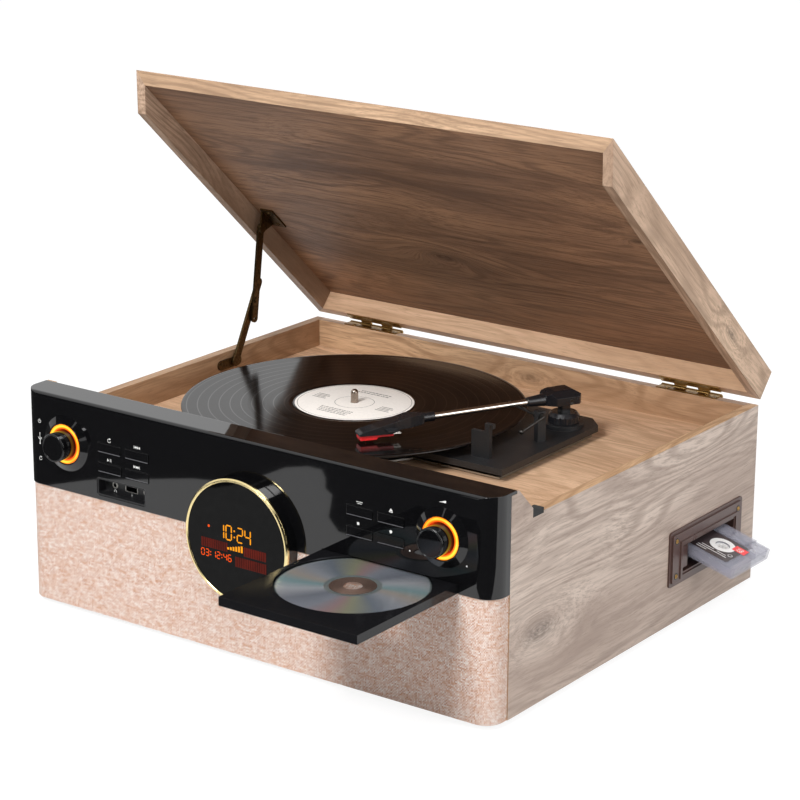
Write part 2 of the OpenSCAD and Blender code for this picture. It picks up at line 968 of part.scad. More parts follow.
module lid_sides() {
    color("tan")
        opened()
            for (s = [0, 1])
                mirror([s, 0, 0])
                    intersection() {
                        slab_x(x_in, hw)
                            lid_profile_yz();
                        slab_y(lid_y - cut, y_back + cut)
                            polygon([
                                [x_in, lid_z],
                                [hw, lid_z],
                                [hw, lid_z_top],
                                [x_in, lid_z_top - board_t]
                            ]);
                        translate([0, 0, lid_z - cut])
                            linear_extrude(lid_h + 2 * cut)
                                polygon([
                                    [x_in, lid_y - cut],
                                    [hw, lid_y - cut],
                                    [hw, y_back],
                                    [x_in, y_back - board_t]
                                ]);
                    }
}

module lid_back_rail() {
    color("tan")
        opened()
            intersection() {
                slab_x(-hw, hw)
                    polygon([
                        [y_back - board_t, lid_z],
                        [y_back, lid_z],
                        [y_back, lid_z_top],
                        [y_back - board_t, lid_z_top - board_t]
                    ]);
                translate([0, 0, lid_z - cut])
                    linear_extrude(lid_h + 2 * cut)
                        polygon([
                            [-hw, y_back],
                            [hw, y_back],
                            [x_in, y_back - board_t],
                            [-x_in, y_back - board_t]
                        ]);
            }
}

// A flat arm in the (y, z) plane between the points p and q, with round ends
module arm_bar(p, q, w) {
    u = (q - p) / norm(q - p);
    n = [-u[1], u[0]] * w / 2;
    polygon([p + n, p - n, q - n, q + n]);
    translate(p)
        circle(r = w / 2);
    translate(q)
        circle(r = w / 2);
}

// An arm that runs a little past the elbow, with a rivet and a hole there
module stay_arm(x0, pivot, joint) {
    u = (joint - pivot) / norm(joint - pivot);
    tip = joint + stay_stub * u;
    difference() {
        slab_x(x0, x0 + stay_t)
            arm_bar(pivot, tip, stay_w);
        rod_x(pivot[0], pivot[1], x0 - cut, x0 + stay_t + cut, stay_rivet_r + run_gap);
        rod_x(tip[0], tip[1], x0 - cut, x0 + stay_t + cut, 1.4);
    }
}

module stay_arm_lower() {
    color("darkgoldenrod") {
        stay_arm(x_stay_low, stay_low, stay_elbow);
        rod_x(stay_elbow[0], stay_elbow[1], x_stay_low - 0.3, x_stay_low + 0.01, 2.6);
    }
}

module stay_arm_upper() {
    color("darkgoldenrod") {
        stay_arm(x_stay_high, stay_high, stay_elbow);
        rod_x(stay_elbow[0], stay_elbow[1], x_stay_high + stay_t - 0.01, x_stay_high + stay_t + 1, 2.6);
    }
}

module stay_bracket_lower() {
    p = stay_low;
    color("darkgoldenrod") {
        difference() {
            slab_x(-x_in, -x_in + stay_plate_t)
                arm_bar(p + [-18, 0], p + [6, 0], 9);
            rod_x(p[0] - 16, p[1], -x_in - cut, -x_in + stay_plate_t + cut, 1.6);
        }
        rod_x(p[0], p[1], -x_in + stay_plate_t - 0.01, x_stay_low + stay_t + 0.2, stay_rivet_r);
    }
}

module stay_bracket_upper() {
    p = stay_high_shut;
    z1 = lid_z_top - board_t;
    color("darkgoldenrod")
        opened() {
            slab_x(x_stay_hang, x_stay_hang + stay_plate_t)
                union() {
                    polygon([p + [-4.5, 0], p + [4.5, 0], [p[0] + 12, z1], [p[0] - 12, z1]]);
                    translate(p)
                        circle(r = 4.5);
                }
            difference() {
                block([x_stay_hang, p[0] - 14, z1 - stay_plate_t], [x_stay_hang + 14, p[0] + 14, z1]);
                for (dy = [-9, 9])
                    translate([x_stay_hang + 8, p[0] + dy, z1 - stay_plate_t - cut])
                        cylinder(h = stay_plate_t + 2 * cut, r = 1.6);
            }
            rod_x(p[0], p[1], x_stay_high - 0.3, x_stay_hang + 0.01, stay_rivet_r);
        }
}

// Outline of the record player's plate: a round well under the record and the arm's board
module plate_outline(inset) {
    translate([sx, sy])
        circle(r = well_r - inset, $fn = 128);
    polygon([
        [plate_left, y_front + plate_front + inset],
        [plate_right - inset, y_front + plate_front + inset],
        [plate_right - inset, y_front + plate_back - plate_chamfer],
        [plate_right - plate_chamfer, y_front + plate_back - inset],
        [plate_left, y_front + plate_back - inset]
    ]);
}

module chassis_plate() {
    color("silver")
        translate([0, 0, z_chassis])
            linear_extrude(chassis_t)
                difference() {
                    plate_outline(6);
                    translate([motor_x, sy])
                        circle(r = 8);
                    for (p = mount_spots)
                        translate(p)
                            circle(r = mount_neck_r + slip);
                    translate([sx, sy])
                        circle(r = 6.2);
                }
}

// Rubber mounts between the deck and the steel chassis, and between chassis and plate
module suspension_mounts() {
    low = z_plate - plate_t;
    color("dimgray")
        for (p = mount_spots)
            translate([p[0], p[1], 0]) {
                translate([0, 0, z_deck])
                    cylinder(h = z_chassis - z_deck, r = mount_r);
                translate([0, 0, z_deck])
                    cylinder(h = low - z_deck, r = mount_neck_r);
                translate([0, 0, z_chassis + chassis_t])
                    cylinder(h = low - z_chassis - chassis_t, r = mount_r);
            }
}

module turntable_plate() {
    low = z_plate - plate_t;
    post = [post_x, y_front + post_back];
    z_cradle = z_tube - tube_r - 2 * slip;
    z_clip = z_tube + tube_r + 0.7 + clip_t;
    ear = tube_r + 1;
    color([0.1, 0.1, 0.11]) {
        difference() {
            translate([0, 0, low])
                linear_extrude(plate_t)
                    plate_outline(0);
            translate([sx, sy, z_well])
                cylinder(h = plate_t, r = record_r - 38, $fn = 128);
            translate([sx, sy, low - cut])
                cylinder(h = plate_t + 2 * cut, r = plate_hole_r);
            translate([motor_x, sy, low - cut])
                cylinder(h = plate_t + 2 * cut, r = pulley_r + 4);
        }
        lift_stand();
        translate([ax, ay, z_plate - 0.01])
            difference() {
                cylinder(h = z_flange - z_plate, r = flange_r);
                translate([0, 0, 1])
                    cylinder(h = 10, r = 4 + run_gap);
            }
        slab_y(post[1] - post_t / 2, post[1] + post_t / 2) {
            translate([post[0] - post_left, z_plate - 0.01])
                square([post_left + post_right, z_cradle - z_plate + 0.01]);
            translate([post[0] + ear, z_plate])
                square([post_right - ear, z_clip - z_plate]);
            translate([post[0] + ear, z_clip - clip_t])
                square([clip_l, clip_t]);
            translate([post[0] + ear + clip_l - clip_t, z_clip - clip_drop])
                square([clip_t, clip_drop]);
        }
    }
}

module spindle() {
    color("silver")
        translate([sx, sy, 0]) {
            translate([0, 0, z_deck - 14])
                cylinder(h = z_record - z_deck + 14, r = spindle_r);
            translate([0, 0, z_record - 0.01])
                cylinder(h = spindle_over - spindle_tip_r + 0.01, r = spindle_tip_r);
            translate([0, 0, z_record + spindle_over - spindle_tip_r])
                sphere(r = spindle_tip_r);
            translate([0, 0, z_chassis + chassis_t])
                cylinder(h = 3, r = 12);
            translate([0, 0, z_deck - 14])
                cylinder(h = z_chassis - z_deck + 14 + 0.01, r = 6);
        }
}

module motor() {
    color("gray")
        translate([motor_x, sy, 0]) {
            translate([0, 0, z_chassis - 26])
                cylinder(h = 26, r = motor_r);
            translate([0, 0, z_chassis - 0.01])
                cylinder(h = chassis_t + 1, r = 6);
            translate([0, 0, z_chassis])
                cylinder(h = belt_z + belt_h - z_chassis - 1, r = 1);
        }
}

module motor_pulley() {
    color("ivory")
        translate([motor_x, sy, belt_z - 1])
            difference() {
                union() {
                    cylinder(h = belt_h + 2, r = pulley_r);
                    cylinder(h = 0.8, r = pulley_r + 0.8);
                }
                translate([0, 0, -cut])
                    cylinder(h = belt_h + 2 + 2 * cut, r = 1 + run_gap);
            }
}

// Outline of a belt that runs round the drive ring and the pulley, g away from both
module belt_outline(g) {
    big = drive_r + g;
    small = pulley_r + g;
    lean = acos((big - small) / motor_dist);
    circle(r = big, $fn = 96);
    translate([-motor_dist, 0])
        circle(r = small);
    polygon([
        [-big * cos(lean), big * sin(lean)],
        [-motor_dist - small * cos(lean), small * sin(lean)],
        [-motor_dist - small * cos(lean), -small * sin(lean)],
        [-big * cos(lean), -big * sin(lean)]
    ]);
}

module drive_belt() {
    color("dimgray")
        translate([sx, sy, belt_z])
            linear_extrude(belt_h - 0.6)
                difference() {
                    belt_outline(slip + belt_t);
                    belt_outline(slip);
                }
}

module platter() {
    low = z_chassis + chassis_t + 3 + slip;
    color("dimgray")
        translate([sx, sy, 0])
            difference() {
                union() {
                    translate([0, 0, z_platter - platter_h])
                        cylinder(h = platter_h - 1, r = platter_r, $fn = 128);
                    translate([0, 0, z_platter - 2])
                        cylinder(h = 2, r = platter_r - 2, $fn = 128);
                    translate([0, 0, belt_z - 0.6])
                        cylinder(h = z_platter - platter_h - belt_z + 1, r = drive_r, $fn = 96);
                }
                translate([0, 0, belt_z - cut])
                    cylinder(h = z_platter - 3 - belt_z + cut, r = drive_r - 4, $fn = 96);
                translate([0, 0, belt_z - cut])
                    cylinder(h = platter_h + 20, r = spindle_r + run_gap);
            }
    color("dimgray")
        translate([sx, sy, low])
            difference() {
                cylinder(h = z_platter - 2.5 - low, r = 10);
                translate([0, 0, -cut])
                    cylinder(h = platter_h + 20, r = spindle_r + run_gap);
            }
}

module record() {
    color([0.05, 0.05, 0.06])
        translate([sx, sy, z_platter])
            difference() {
                rotate_extrude($fn = 180)
                    polygon([
                        [0, 0],
                        [record_r - 0.8, 0],
                        [record_r, record_t * 0.5],
                        [record_r - 0.8, record_t],
                        [0, record_t]
                    ]);
                translate([0, 0, -cut])
                    cylinder(h = record_t + 2 * cut, r = spindle_r + 0.08);
            }
}

// Places a part drawn along +X as "forwards along the tube" with the pivot at the origin
module along_arm() {
    translate([ax, ay, 0])
        rotate([0, 0, -90 - tube_turn])
            children();
}

module arm_turret() {
    ribs = 20;
    color([0.12, 0.12, 0.13]) {
        translate([ax, ay, 0])
            difference() {
                union() {
                    translate([0, 0, z_plate + 1 + slip])
                        cylinder(h = z_flange - z_plate, r = 4);
                    translate([0, 0, z_flange + slip])
                        rotate_extrude()
                            polygon([
                                [0, 0],
                                [turret_r, 0],
                                [turret_r, 6],
                                [turret_r - 2.5, z_turret - z_flange - slip],
                                [0, z_turret - z_flange - slip]
                            ]);
                }
                for (i = [0 : ribs - 1])
                    rotate([0, 0, i * 360 / ribs])
                        translate([turret_r + 0.5, 0, z_flange])
                            cylinder(h = 7, r = 1.1, $fn = 16);
            }
        along_arm()
            difference() {
                union() {
                    translate([-4, -4, z_turret - 0.01])
                        cube([8, 8, tilt_z - z_turret]);
                    translate([0, 4, tilt_z])
                        rotate([90, 0, 0])
                            cylinder(h = 8, r = 4);
                }
                translate([0, 5, tilt_z])
                    rotate([90, 0, 0])
                        cylinder(h = 10, r = tilt_pin_r + run_gap);
            }
    }
}

// Section of the arm's rear block: x along the arm, low to high
module arm_block_body(low, high, half) {
    rear = -11;
    nose = 21;
    intersection() {
        translate([0, 0, low])
            linear_extrude(high - low)
                polygon([
                    [rear, -half + 3], [rear + 3, -half], [nose - 7, -half], [nose, -6],
                    [nose, 6], [nose - 7, half], [rear + 3, half], [rear, half - 3]
                ]);
        translate([0, half + cut, 0])
            rotate([90, 0, 0])
                linear_extrude(2 * half + 2 * cut)
                    polygon([
                        [rear, low], [nose, low], [nose, z_tube + 5], [nose - 8, high],
                        [rear + 7, high], [rear, high - 4]
                    ]);
        translate([rear - cut, 0, 0])
            rotate([90, 0, 90])
                linear_extrude(nose - rear + 2 * cut)
                    polygon([
                        [-half, low], [half, low], [half, high - 5.5], [7, high],
                        [-7, high], [-half, high - 5.5]
                    ]);
    }
}

// The arm's rear block: a chamfered housing with a collar that holds the tube
module arm_block() {
    low = z_tube - 4;
    high = z_tube + 8.2;
    post = 4;
    color([0.12, 0.12, 0.13])
        along_arm()
            difference() {
                union() {
                    arm_block_body(low, high, 12.5);
                    translate([20, 0, z_tube])
                        rotate([0, 90, 0])
                            cylinder(h = 17, r1 = 5.6, r2 = 4);
                }
                difference() {
                    translate([-7, -post - slip, low - cut])
                        cube([14, 2 * post + 2 * slip, tilt_z + 5 - low + cut]);
                    translate([0, 6, tilt_z])
                        rotate([90, 0, 0])
                            cylinder(h = 12, r = tilt_pin_r);
                }
                translate([12, 0, z_tube])
                    rotate([0, 90, 0])
                        cylinder(h = 40, r = tube_r + run_gap);
            }
}

module arm_tube() {
    color("silver")
        along_arm()
            translate([14, 0, z_tube])
                rotate([0, 90, 0])
                    difference() {
                        cylinder(h = tube_l - 14, r = tube_r);
                        translate([0, 0, -cut])
                            cylinder(h = tube_l, r = tube_r - 0.5);
                    }
}

// Places a part drawn along +X as "forwards along the head" with the tube's end at the origin
module along_head() {
    along_arm()
        translate([tube_l, 0, z_tube])
            rotate([0, 0, -head_turn])
                children();
}

// A flat shape drawn in (x, z) of the head and made thick across it
module across_head(w) {
    translate([0, w / 2, 0])
        rotate([90, 0, 0])
            linear_extrude(w)
                children();
}

module headshell() {
    half = 8;
    color([0.1, 0.1, 0.11])
        along_head() {
            difference() {
                union() {
                    rotate([0, 0, head_turn])
                        translate([-9, 0, 0])
                            rotate([0, 90, 0])
                                cylinder(h = 11, r = tube_r + 1.4);
                    across_head(2 * half)
                        polygon([
                            [1, -4.5], [1, 3.8], [14, 3.8], [head_l - 3, -6.5],
                            [head_l, -8.2], [head_l, -9.6], [30, -9.6], [22, -6]
                        ]);
                }
                rotate([0, 0, head_turn])
                    translate([-20, 0, 0])
                        rotate([0, 90, 0])
                            cylinder(h = 20, r = tube_r + run_gap);
                translate([cart_from - 1, -6, -12])
                    cube([head_l - 1 - cart_from, 12, 3.4]);
                for (s = [-1, 1])
                    translate([0, s * half, 0])
                        linear_extrude(30, center = true)
                            polygon([
                                [-1, s * -4], [2, s * -4], [14, 0], [head_l + 1, s * -1.5],
                                [head_l + 1, s * 3], [-1, s * 3]
                            ]);
            }
            translate([26, 5, -6])
                cube([10, 9, 1]);
            translate([26, 13, -6])
                cube([1, 1, 3]);
        }
}

module cartridge() {
    tip = z_record + 0.1 - z_tube;
    color("red")
        along_head() {
            translate([cart_from, -5, -12])
                cube([head_l - 16 - cart_from, 10, 3.4]);
            across_head(11)
                polygon([
                    [head_l - 19, -8.6], [head_l - 2.2, -8.6], [head_l - 2.2, -9.8], [head_l - 0.6, -9.8],
                    [head_l - 1.2, -13.7], [head_l - 15, -13.7]
                ]);
            translate([head_l - 7, 0, tip])
                cylinder(h = -13.6 - tip, r1 = 0.3, r2 = 1, $fn = 24);
        }
}

// Places a part drawn with its axle along Y at the lift lever's axle
module at_lift(z) {
    translate([ax, ay, 0])
        rotate([0, 0, -90 - lift_turn])
            translate([lift_reach, 0, z])
                children();
}

// The stand that carries the lift lever's axle beside the arm
module lift_stand() {
    at_lift(0)
        difference() {
            translate([-4, lift_side + slip, z_plate - 0.01])
                cube([8, 6, lift_z + 4 - z_plate]);
            translate([0, lift_side, lift_z])
                rotate([-90, 0, 0])
                    cylinder(h = 10, r = lift_axle_r + run_gap);
        }
}

module cue_lever() {
    forward = lift_throw * cos(lift_rest);
    down = lift_throw * sin(lift_rest);
    color("gray")
        at_lift(lift_z) {
            translate([forward, -lift_inner, -down])
                rotate([-90, 0, 0])
                    cylinder(h = lift_side + lift_inner, r = lift_r);
            translate([0, lift_side - 2, 0])
                rotate([-90, 0, 0])
                    cylinder(h = 2, r = lift_axle_r + 2.2);
            translate([0, lift_side - 2, 0])
                rotate([-90, 0, 0])
                    cylinder(h = 12, r = lift_axle_r);
            translate([0, lift_side + 6 + 2 * slip, 0])
                rotate([-90, 0, 0])
                    cylinder(h = 2, r = lift_axle_r + 1);
            translate([0, lift_side + 9, 0])
                rotate([0, 90 + lever_dip, 0]) {
                    cylinder(h = lever_l, r = 1.3);
                    translate([0, 0, lever_l])
                        sphere(r = 2.2);
                }
        }
}

// The loader behind the front: a channel that carries the drawer, a sled under it and its motor
module cd_mechanism() {
    x0 = tray_x - tray_half - 6;
    x1 = tray_x + tray_half + 6;
    y0 = y_front + 3;
    y1 = y_front + 150;
    z0 = z_tray - tray_h - 8;
    z1 = z_tray + 6;
    g = slip;
    color("gray")
        difference() {
            block([x0, y0, z0], [x1, y1, z1]);
            block([tray_x - tray_half - g, y0 - cut, z_tray - tray_h - g],
                  [tray_x + tray_half + g, y1 - 6, z_tray + g]);
            block([tray_x - 36, y0 - cut, z_tray - cut], [tray_x + 36, y1 - 30, z1 + cut]);
            block([tray_x - 30, y0 + 14, z0 - cut], [tray_x + 30, y1 - 30, z_tray - tray_h]);
        }
}

module cd_tray() {
    z0 = z_tray - tray_h;
    well = disc_r + 0.8;
    color([0.22, 0.22, 0.24])
        difference() {
            block([tray_x - tray_half, y_tray, z0], [tray_x + tray_half, y_tray + tray_l, z_tray]);
            translate([tray_x, disc_y, disc_z - slip])
                cylinder(h = tray_h, r = well, $fn = 128);
            translate([tray_x, disc_y, z0 - cut])
                cylinder(h = tray_h + cut, r = 24);
            block([tray_x - 16, disc_y, z0 - cut], [tray_x + 16, disc_y + 62, z_tray + cut]);
            block([tray_x - tray_half + 4, y_tray + lip_back, z0 - cut],
                  [tray_x + tray_half - 4, y_tray + tray_l - 4, disc_z - slip - 1.6]);
        }
}

module compact_disc() {
    color("silver")
        translate([tray_x, disc_y, disc_z])
            difference() {
                cylinder(h = disc_t, r = disc_r, $fn = 128);
                translate([0, 0, -cut])
                    cylinder(h = disc_t + 2 * cut, r = 7.5);
            }
}

module cassette_bezel() {
    y0 = slot_y - bezel_w - 2;
    y1 = slot_y + slot_w + bezel_w - 2;
    z0 = slot_z - bezel_h + 2;
    z1 = slot_z + slot_h + bezel_h + 4;
    color("saddlebrown")
        difference() {
            union() {
                slab_x(hw, hw + 1.6)
                    translate([(y0 + y1) / 2, (z0 + z1) / 2])
                        rounded(y1 - y0, z1 - z0, 3);
                slab_x(hw + 1.5, hw + 3)
                    translate([(y0 + y1) / 2, (z0 + z1) / 2])
                        rounded(y1 - y0 - 6, z1 - z0 - 6, 2);
                block([x_in, slot_y - 5, slot_z - 4], [hw + 0.01, slot_y + slot_w + 5, slot_z + slot_h + 4]);
                slab_x(hw + 2.9, hw + bezel_t)
                    difference() {
                        translate([slot_y + slot_w / 2, slot_z + slot_h / 2])
                            square([slot_w + 10, slot_h + 10], center = true);
                        translate([slot_y + slot_w / 2, slot_z + slot_h / 2])
                            square([slot_w + 4, slot_h + 4], center = true);
                    }
            }
            block([x_in - cut, slot_y, slot_z], [hw + bezel_t + cut, slot_y + slot_w, slot_z + slot_h]);
            in_bay()
                block([-board_t - 4, tape_y + tape_w - tape_lug, 0],
                      [0, tape_y + tape_w + tape_gap, tape_thick / 2 + tape_gap]);
        }
}

// Places a part drawn level, with X = 0 on the cabinet's side, in the sloping cassette bay
module in_bay() {
    translate([hw, 0, bay_z])
        rotate([0, bay_tilt, 0])
            children();
}

module cassette_mechanism() {
    x1 = x_in - slip;
    x0 = x1 - bay_l;
    y0 = slot_y - 6;
    y1 = slot_y + slot_w + 8;
    z0 = slot_z - 8;
    z1 = bay_z + bay_l * tan(bay_tilt) + tape_thick + 4;
    g = tape_gap;
    deep = tape_travel + tape_l - tape_out + 2;
    color("gray") {
        difference() {
            block([x0, y0, z0], [x1, y1, z1]);
            in_bay() {
                block([-deep, tape_y - g, -tape_t / 2 - g], [2, tape_y + tape_w + g, tape_t / 2 + g]);
                block([-deep, tape_y + tape_w - tape_lug, -tape_thick / 2 - g],
                      [2, tape_y + tape_w + g, tape_thick / 2 + g]);
                block([-deep + 8, tape_y + 6, 0], [-6, tape_y + tape_w - 6, bay_l]);
            }
            block([x1 - 16, slot_y - 0.1, slot_z + 0.8], [x1 + cut, tape_y, slot_z + slot_h - 0.8]);
        }
        for (x = [x0 + 12, x1 - 12], y = [y0 + 10, y1 - 10])
            translate([x, y, z_base + board_t])
                cylinder(h = z0 - z_base - board_t + 0.01, r = 4);
    }
}

module cassette() {
    half = tape_thick / 2;
    y_mid = tape_y + tape_w;
    hub = 21.2;
    xm = tape_x + tape_l / 2;
    ym = tape_y + tape_w / 2 - 2;
    color("lightgray")
        in_bay()
            difference() {
                union() {
                    translate([xm, tape_y + tape_w / 2, -tape_t / 2])
                        linear_extrude(tape_t)
                            rounded(tape_l, tape_w, 2.5);
                    translate([0, 0, -half])
                        linear_extrude(2 * half)
                            polygon([
                                [xm - 36, y_mid - 0.6], [xm - 33, y_mid - 17],
                                [xm + 33, y_mid - 17], [xm + 36, y_mid - 0.6]
                            ]);
                }
                for (s = [-1, 1])
                    translate([xm + s * hub, ym, -half - cut])
                        cylinder(h = 2 * half + 2 * cut, r = 5);
                block([xm - 10, ym - 5, -half - cut], [xm + 10, ym + 5, half + cut]);
                for (s = [-1, 1])
                    translate([xm + s * 20, y_mid - 8, -half - cut])
                        cylinder(h = 2 * half + 2 * cut, r = 2.4);
            }
}

module eject_button() {
    y0 = slot_y + 0.5;
    color("sienna")
        block([x_in - 12, y0, slot_z + 1.8], [hw + 1, y0 + eject_w, slot_z + slot_h - 2]);
}

side_panel_left();
side_panel_right();
back_panel();
bottom_panel();
deck_board();
front_baffle();
fabric_grille();
fascia();
fascia_sill();
display_drum();
display_ring();
display_lens();
light_rings();
socket_panel();
circuit_boards();
speakers();
rear_sockets();
feet();
lid_bumpers();
hinge_leaves_lower();
stay_bracket_lower();
chassis_plate();
suspension_mounts();
turntable_plate();
spindle();
motor();
drive_belt();
cd_mechanism();
cassette_bezel();
cassette_mechanism();
lid_top();
lid_sides();
lid_back_rail();
hinge_leaves_upper();
stay_bracket_upper();
stay_arm_upper();
stay_arm_lower();
platter();
record();
motor_pulley();
arm_turret();
arm_block();
arm_tube();
headshell();
cartridge();
cue_lever();
cd_tray();
compact_disc();
knob(-1);  // knob_left
knob(1);  // knob_right
button(0);  // button_left_1
button(1);  // button_left_2
button(2);  // button_left_3
button(3);  // button_left_4
button(4);  // button_right_1
button(5);  // button_right_2
button(6);  // button_right_3
button(7);  // button_right_4
cassette();
eject_button();
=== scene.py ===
import math
import random
import bmesh
import bpy
from mathutils import Matrix, Vector


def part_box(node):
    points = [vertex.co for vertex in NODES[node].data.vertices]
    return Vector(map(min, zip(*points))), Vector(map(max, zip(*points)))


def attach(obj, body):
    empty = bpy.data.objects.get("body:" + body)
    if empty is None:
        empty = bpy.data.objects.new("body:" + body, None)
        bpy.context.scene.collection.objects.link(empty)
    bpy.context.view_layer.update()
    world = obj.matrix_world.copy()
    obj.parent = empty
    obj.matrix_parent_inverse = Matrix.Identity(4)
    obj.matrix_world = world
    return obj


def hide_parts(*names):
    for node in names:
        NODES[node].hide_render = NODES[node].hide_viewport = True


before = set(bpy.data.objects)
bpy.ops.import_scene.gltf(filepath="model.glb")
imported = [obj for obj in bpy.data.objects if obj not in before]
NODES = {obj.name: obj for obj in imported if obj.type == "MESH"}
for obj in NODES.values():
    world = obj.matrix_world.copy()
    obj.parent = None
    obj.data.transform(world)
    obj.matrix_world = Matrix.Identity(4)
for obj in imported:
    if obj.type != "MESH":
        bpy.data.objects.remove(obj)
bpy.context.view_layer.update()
MM = 0.001
QUARTER = math.pi / 2

# Places read from the parts in model.glb, in metres
LENS_LOW, LENS_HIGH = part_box("display_lens")
RECORD_LOW, RECORD_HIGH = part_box("record")
DISC_LOW, DISC_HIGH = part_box("compact_disc")
KNOB_LOW, KNOB_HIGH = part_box("knob_right")
SPIN_X = (RECORD_LOW.x + RECORD_HIGH.x) / 2
SPIN_Y = (RECORD_LOW.y + RECORD_HIGH.y) / 2
DISC_X = (DISC_LOW.x + DISC_HIGH.x) / 2
DISC_Y = (DISC_LOW.y + DISC_HIGH.y) / 2
KNOB_X = (KNOB_LOW.x + KNOB_HIGH.x) / 2
KNOB_Z = (KNOB_LOW.z + KNOB_HIGH.z) / 2
DRUM_Z = (LENS_LOW.z + LENS_HIGH.z) / 2
FACE_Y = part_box("side_panel_right")[0].y - 22 * MM  # the front's face
SEAM_Z = 116.8 * MM  # between the front and the strip under it
LID_TILT = math.radians(-42.2)
BAY_TILT = math.radians(15.5)


def moved(x, y, z=0):
    return Matrix.Translation((x, y, z))


def turned(angle, axis):
    return Matrix.Rotation(angle, 4, axis)


# The lid, the cassette, the tonearm and its head, as they stand in the photograph
HINGE = (0, 196.1 * MM, 163.8 * MM)
LID = moved(*HINGE) @ turned(LID_TILT, "X") @ moved(*HINGE).inverted()
BAY = moved(240 * MM, 0, 64.4 * MM) @ turned(BAY_TILT, "Y")
ARM = moved(114.3 * MM, 78 * MM) @ turned(math.radians(-117), "Z")
HEAD = ARM @ moved(135.7 * MM, 0, 176.5 * MM) @ turned(math.radians(-9), "Z")


def srgb(r, g, b):
    """A colour seen on a screen, 0 to 255, as the linear colour that a shader takes."""
    def line(v):
        v /= 255
        return v / 12.92 if v <= 0.04045 else ((v + 0.055) / 1.055) ** 2.4
    return (line(r), line(g), line(b), 1.0)


def shade(color, by):
    return tuple(min(1.0, c * by) for c in color[:3]) + (1,)


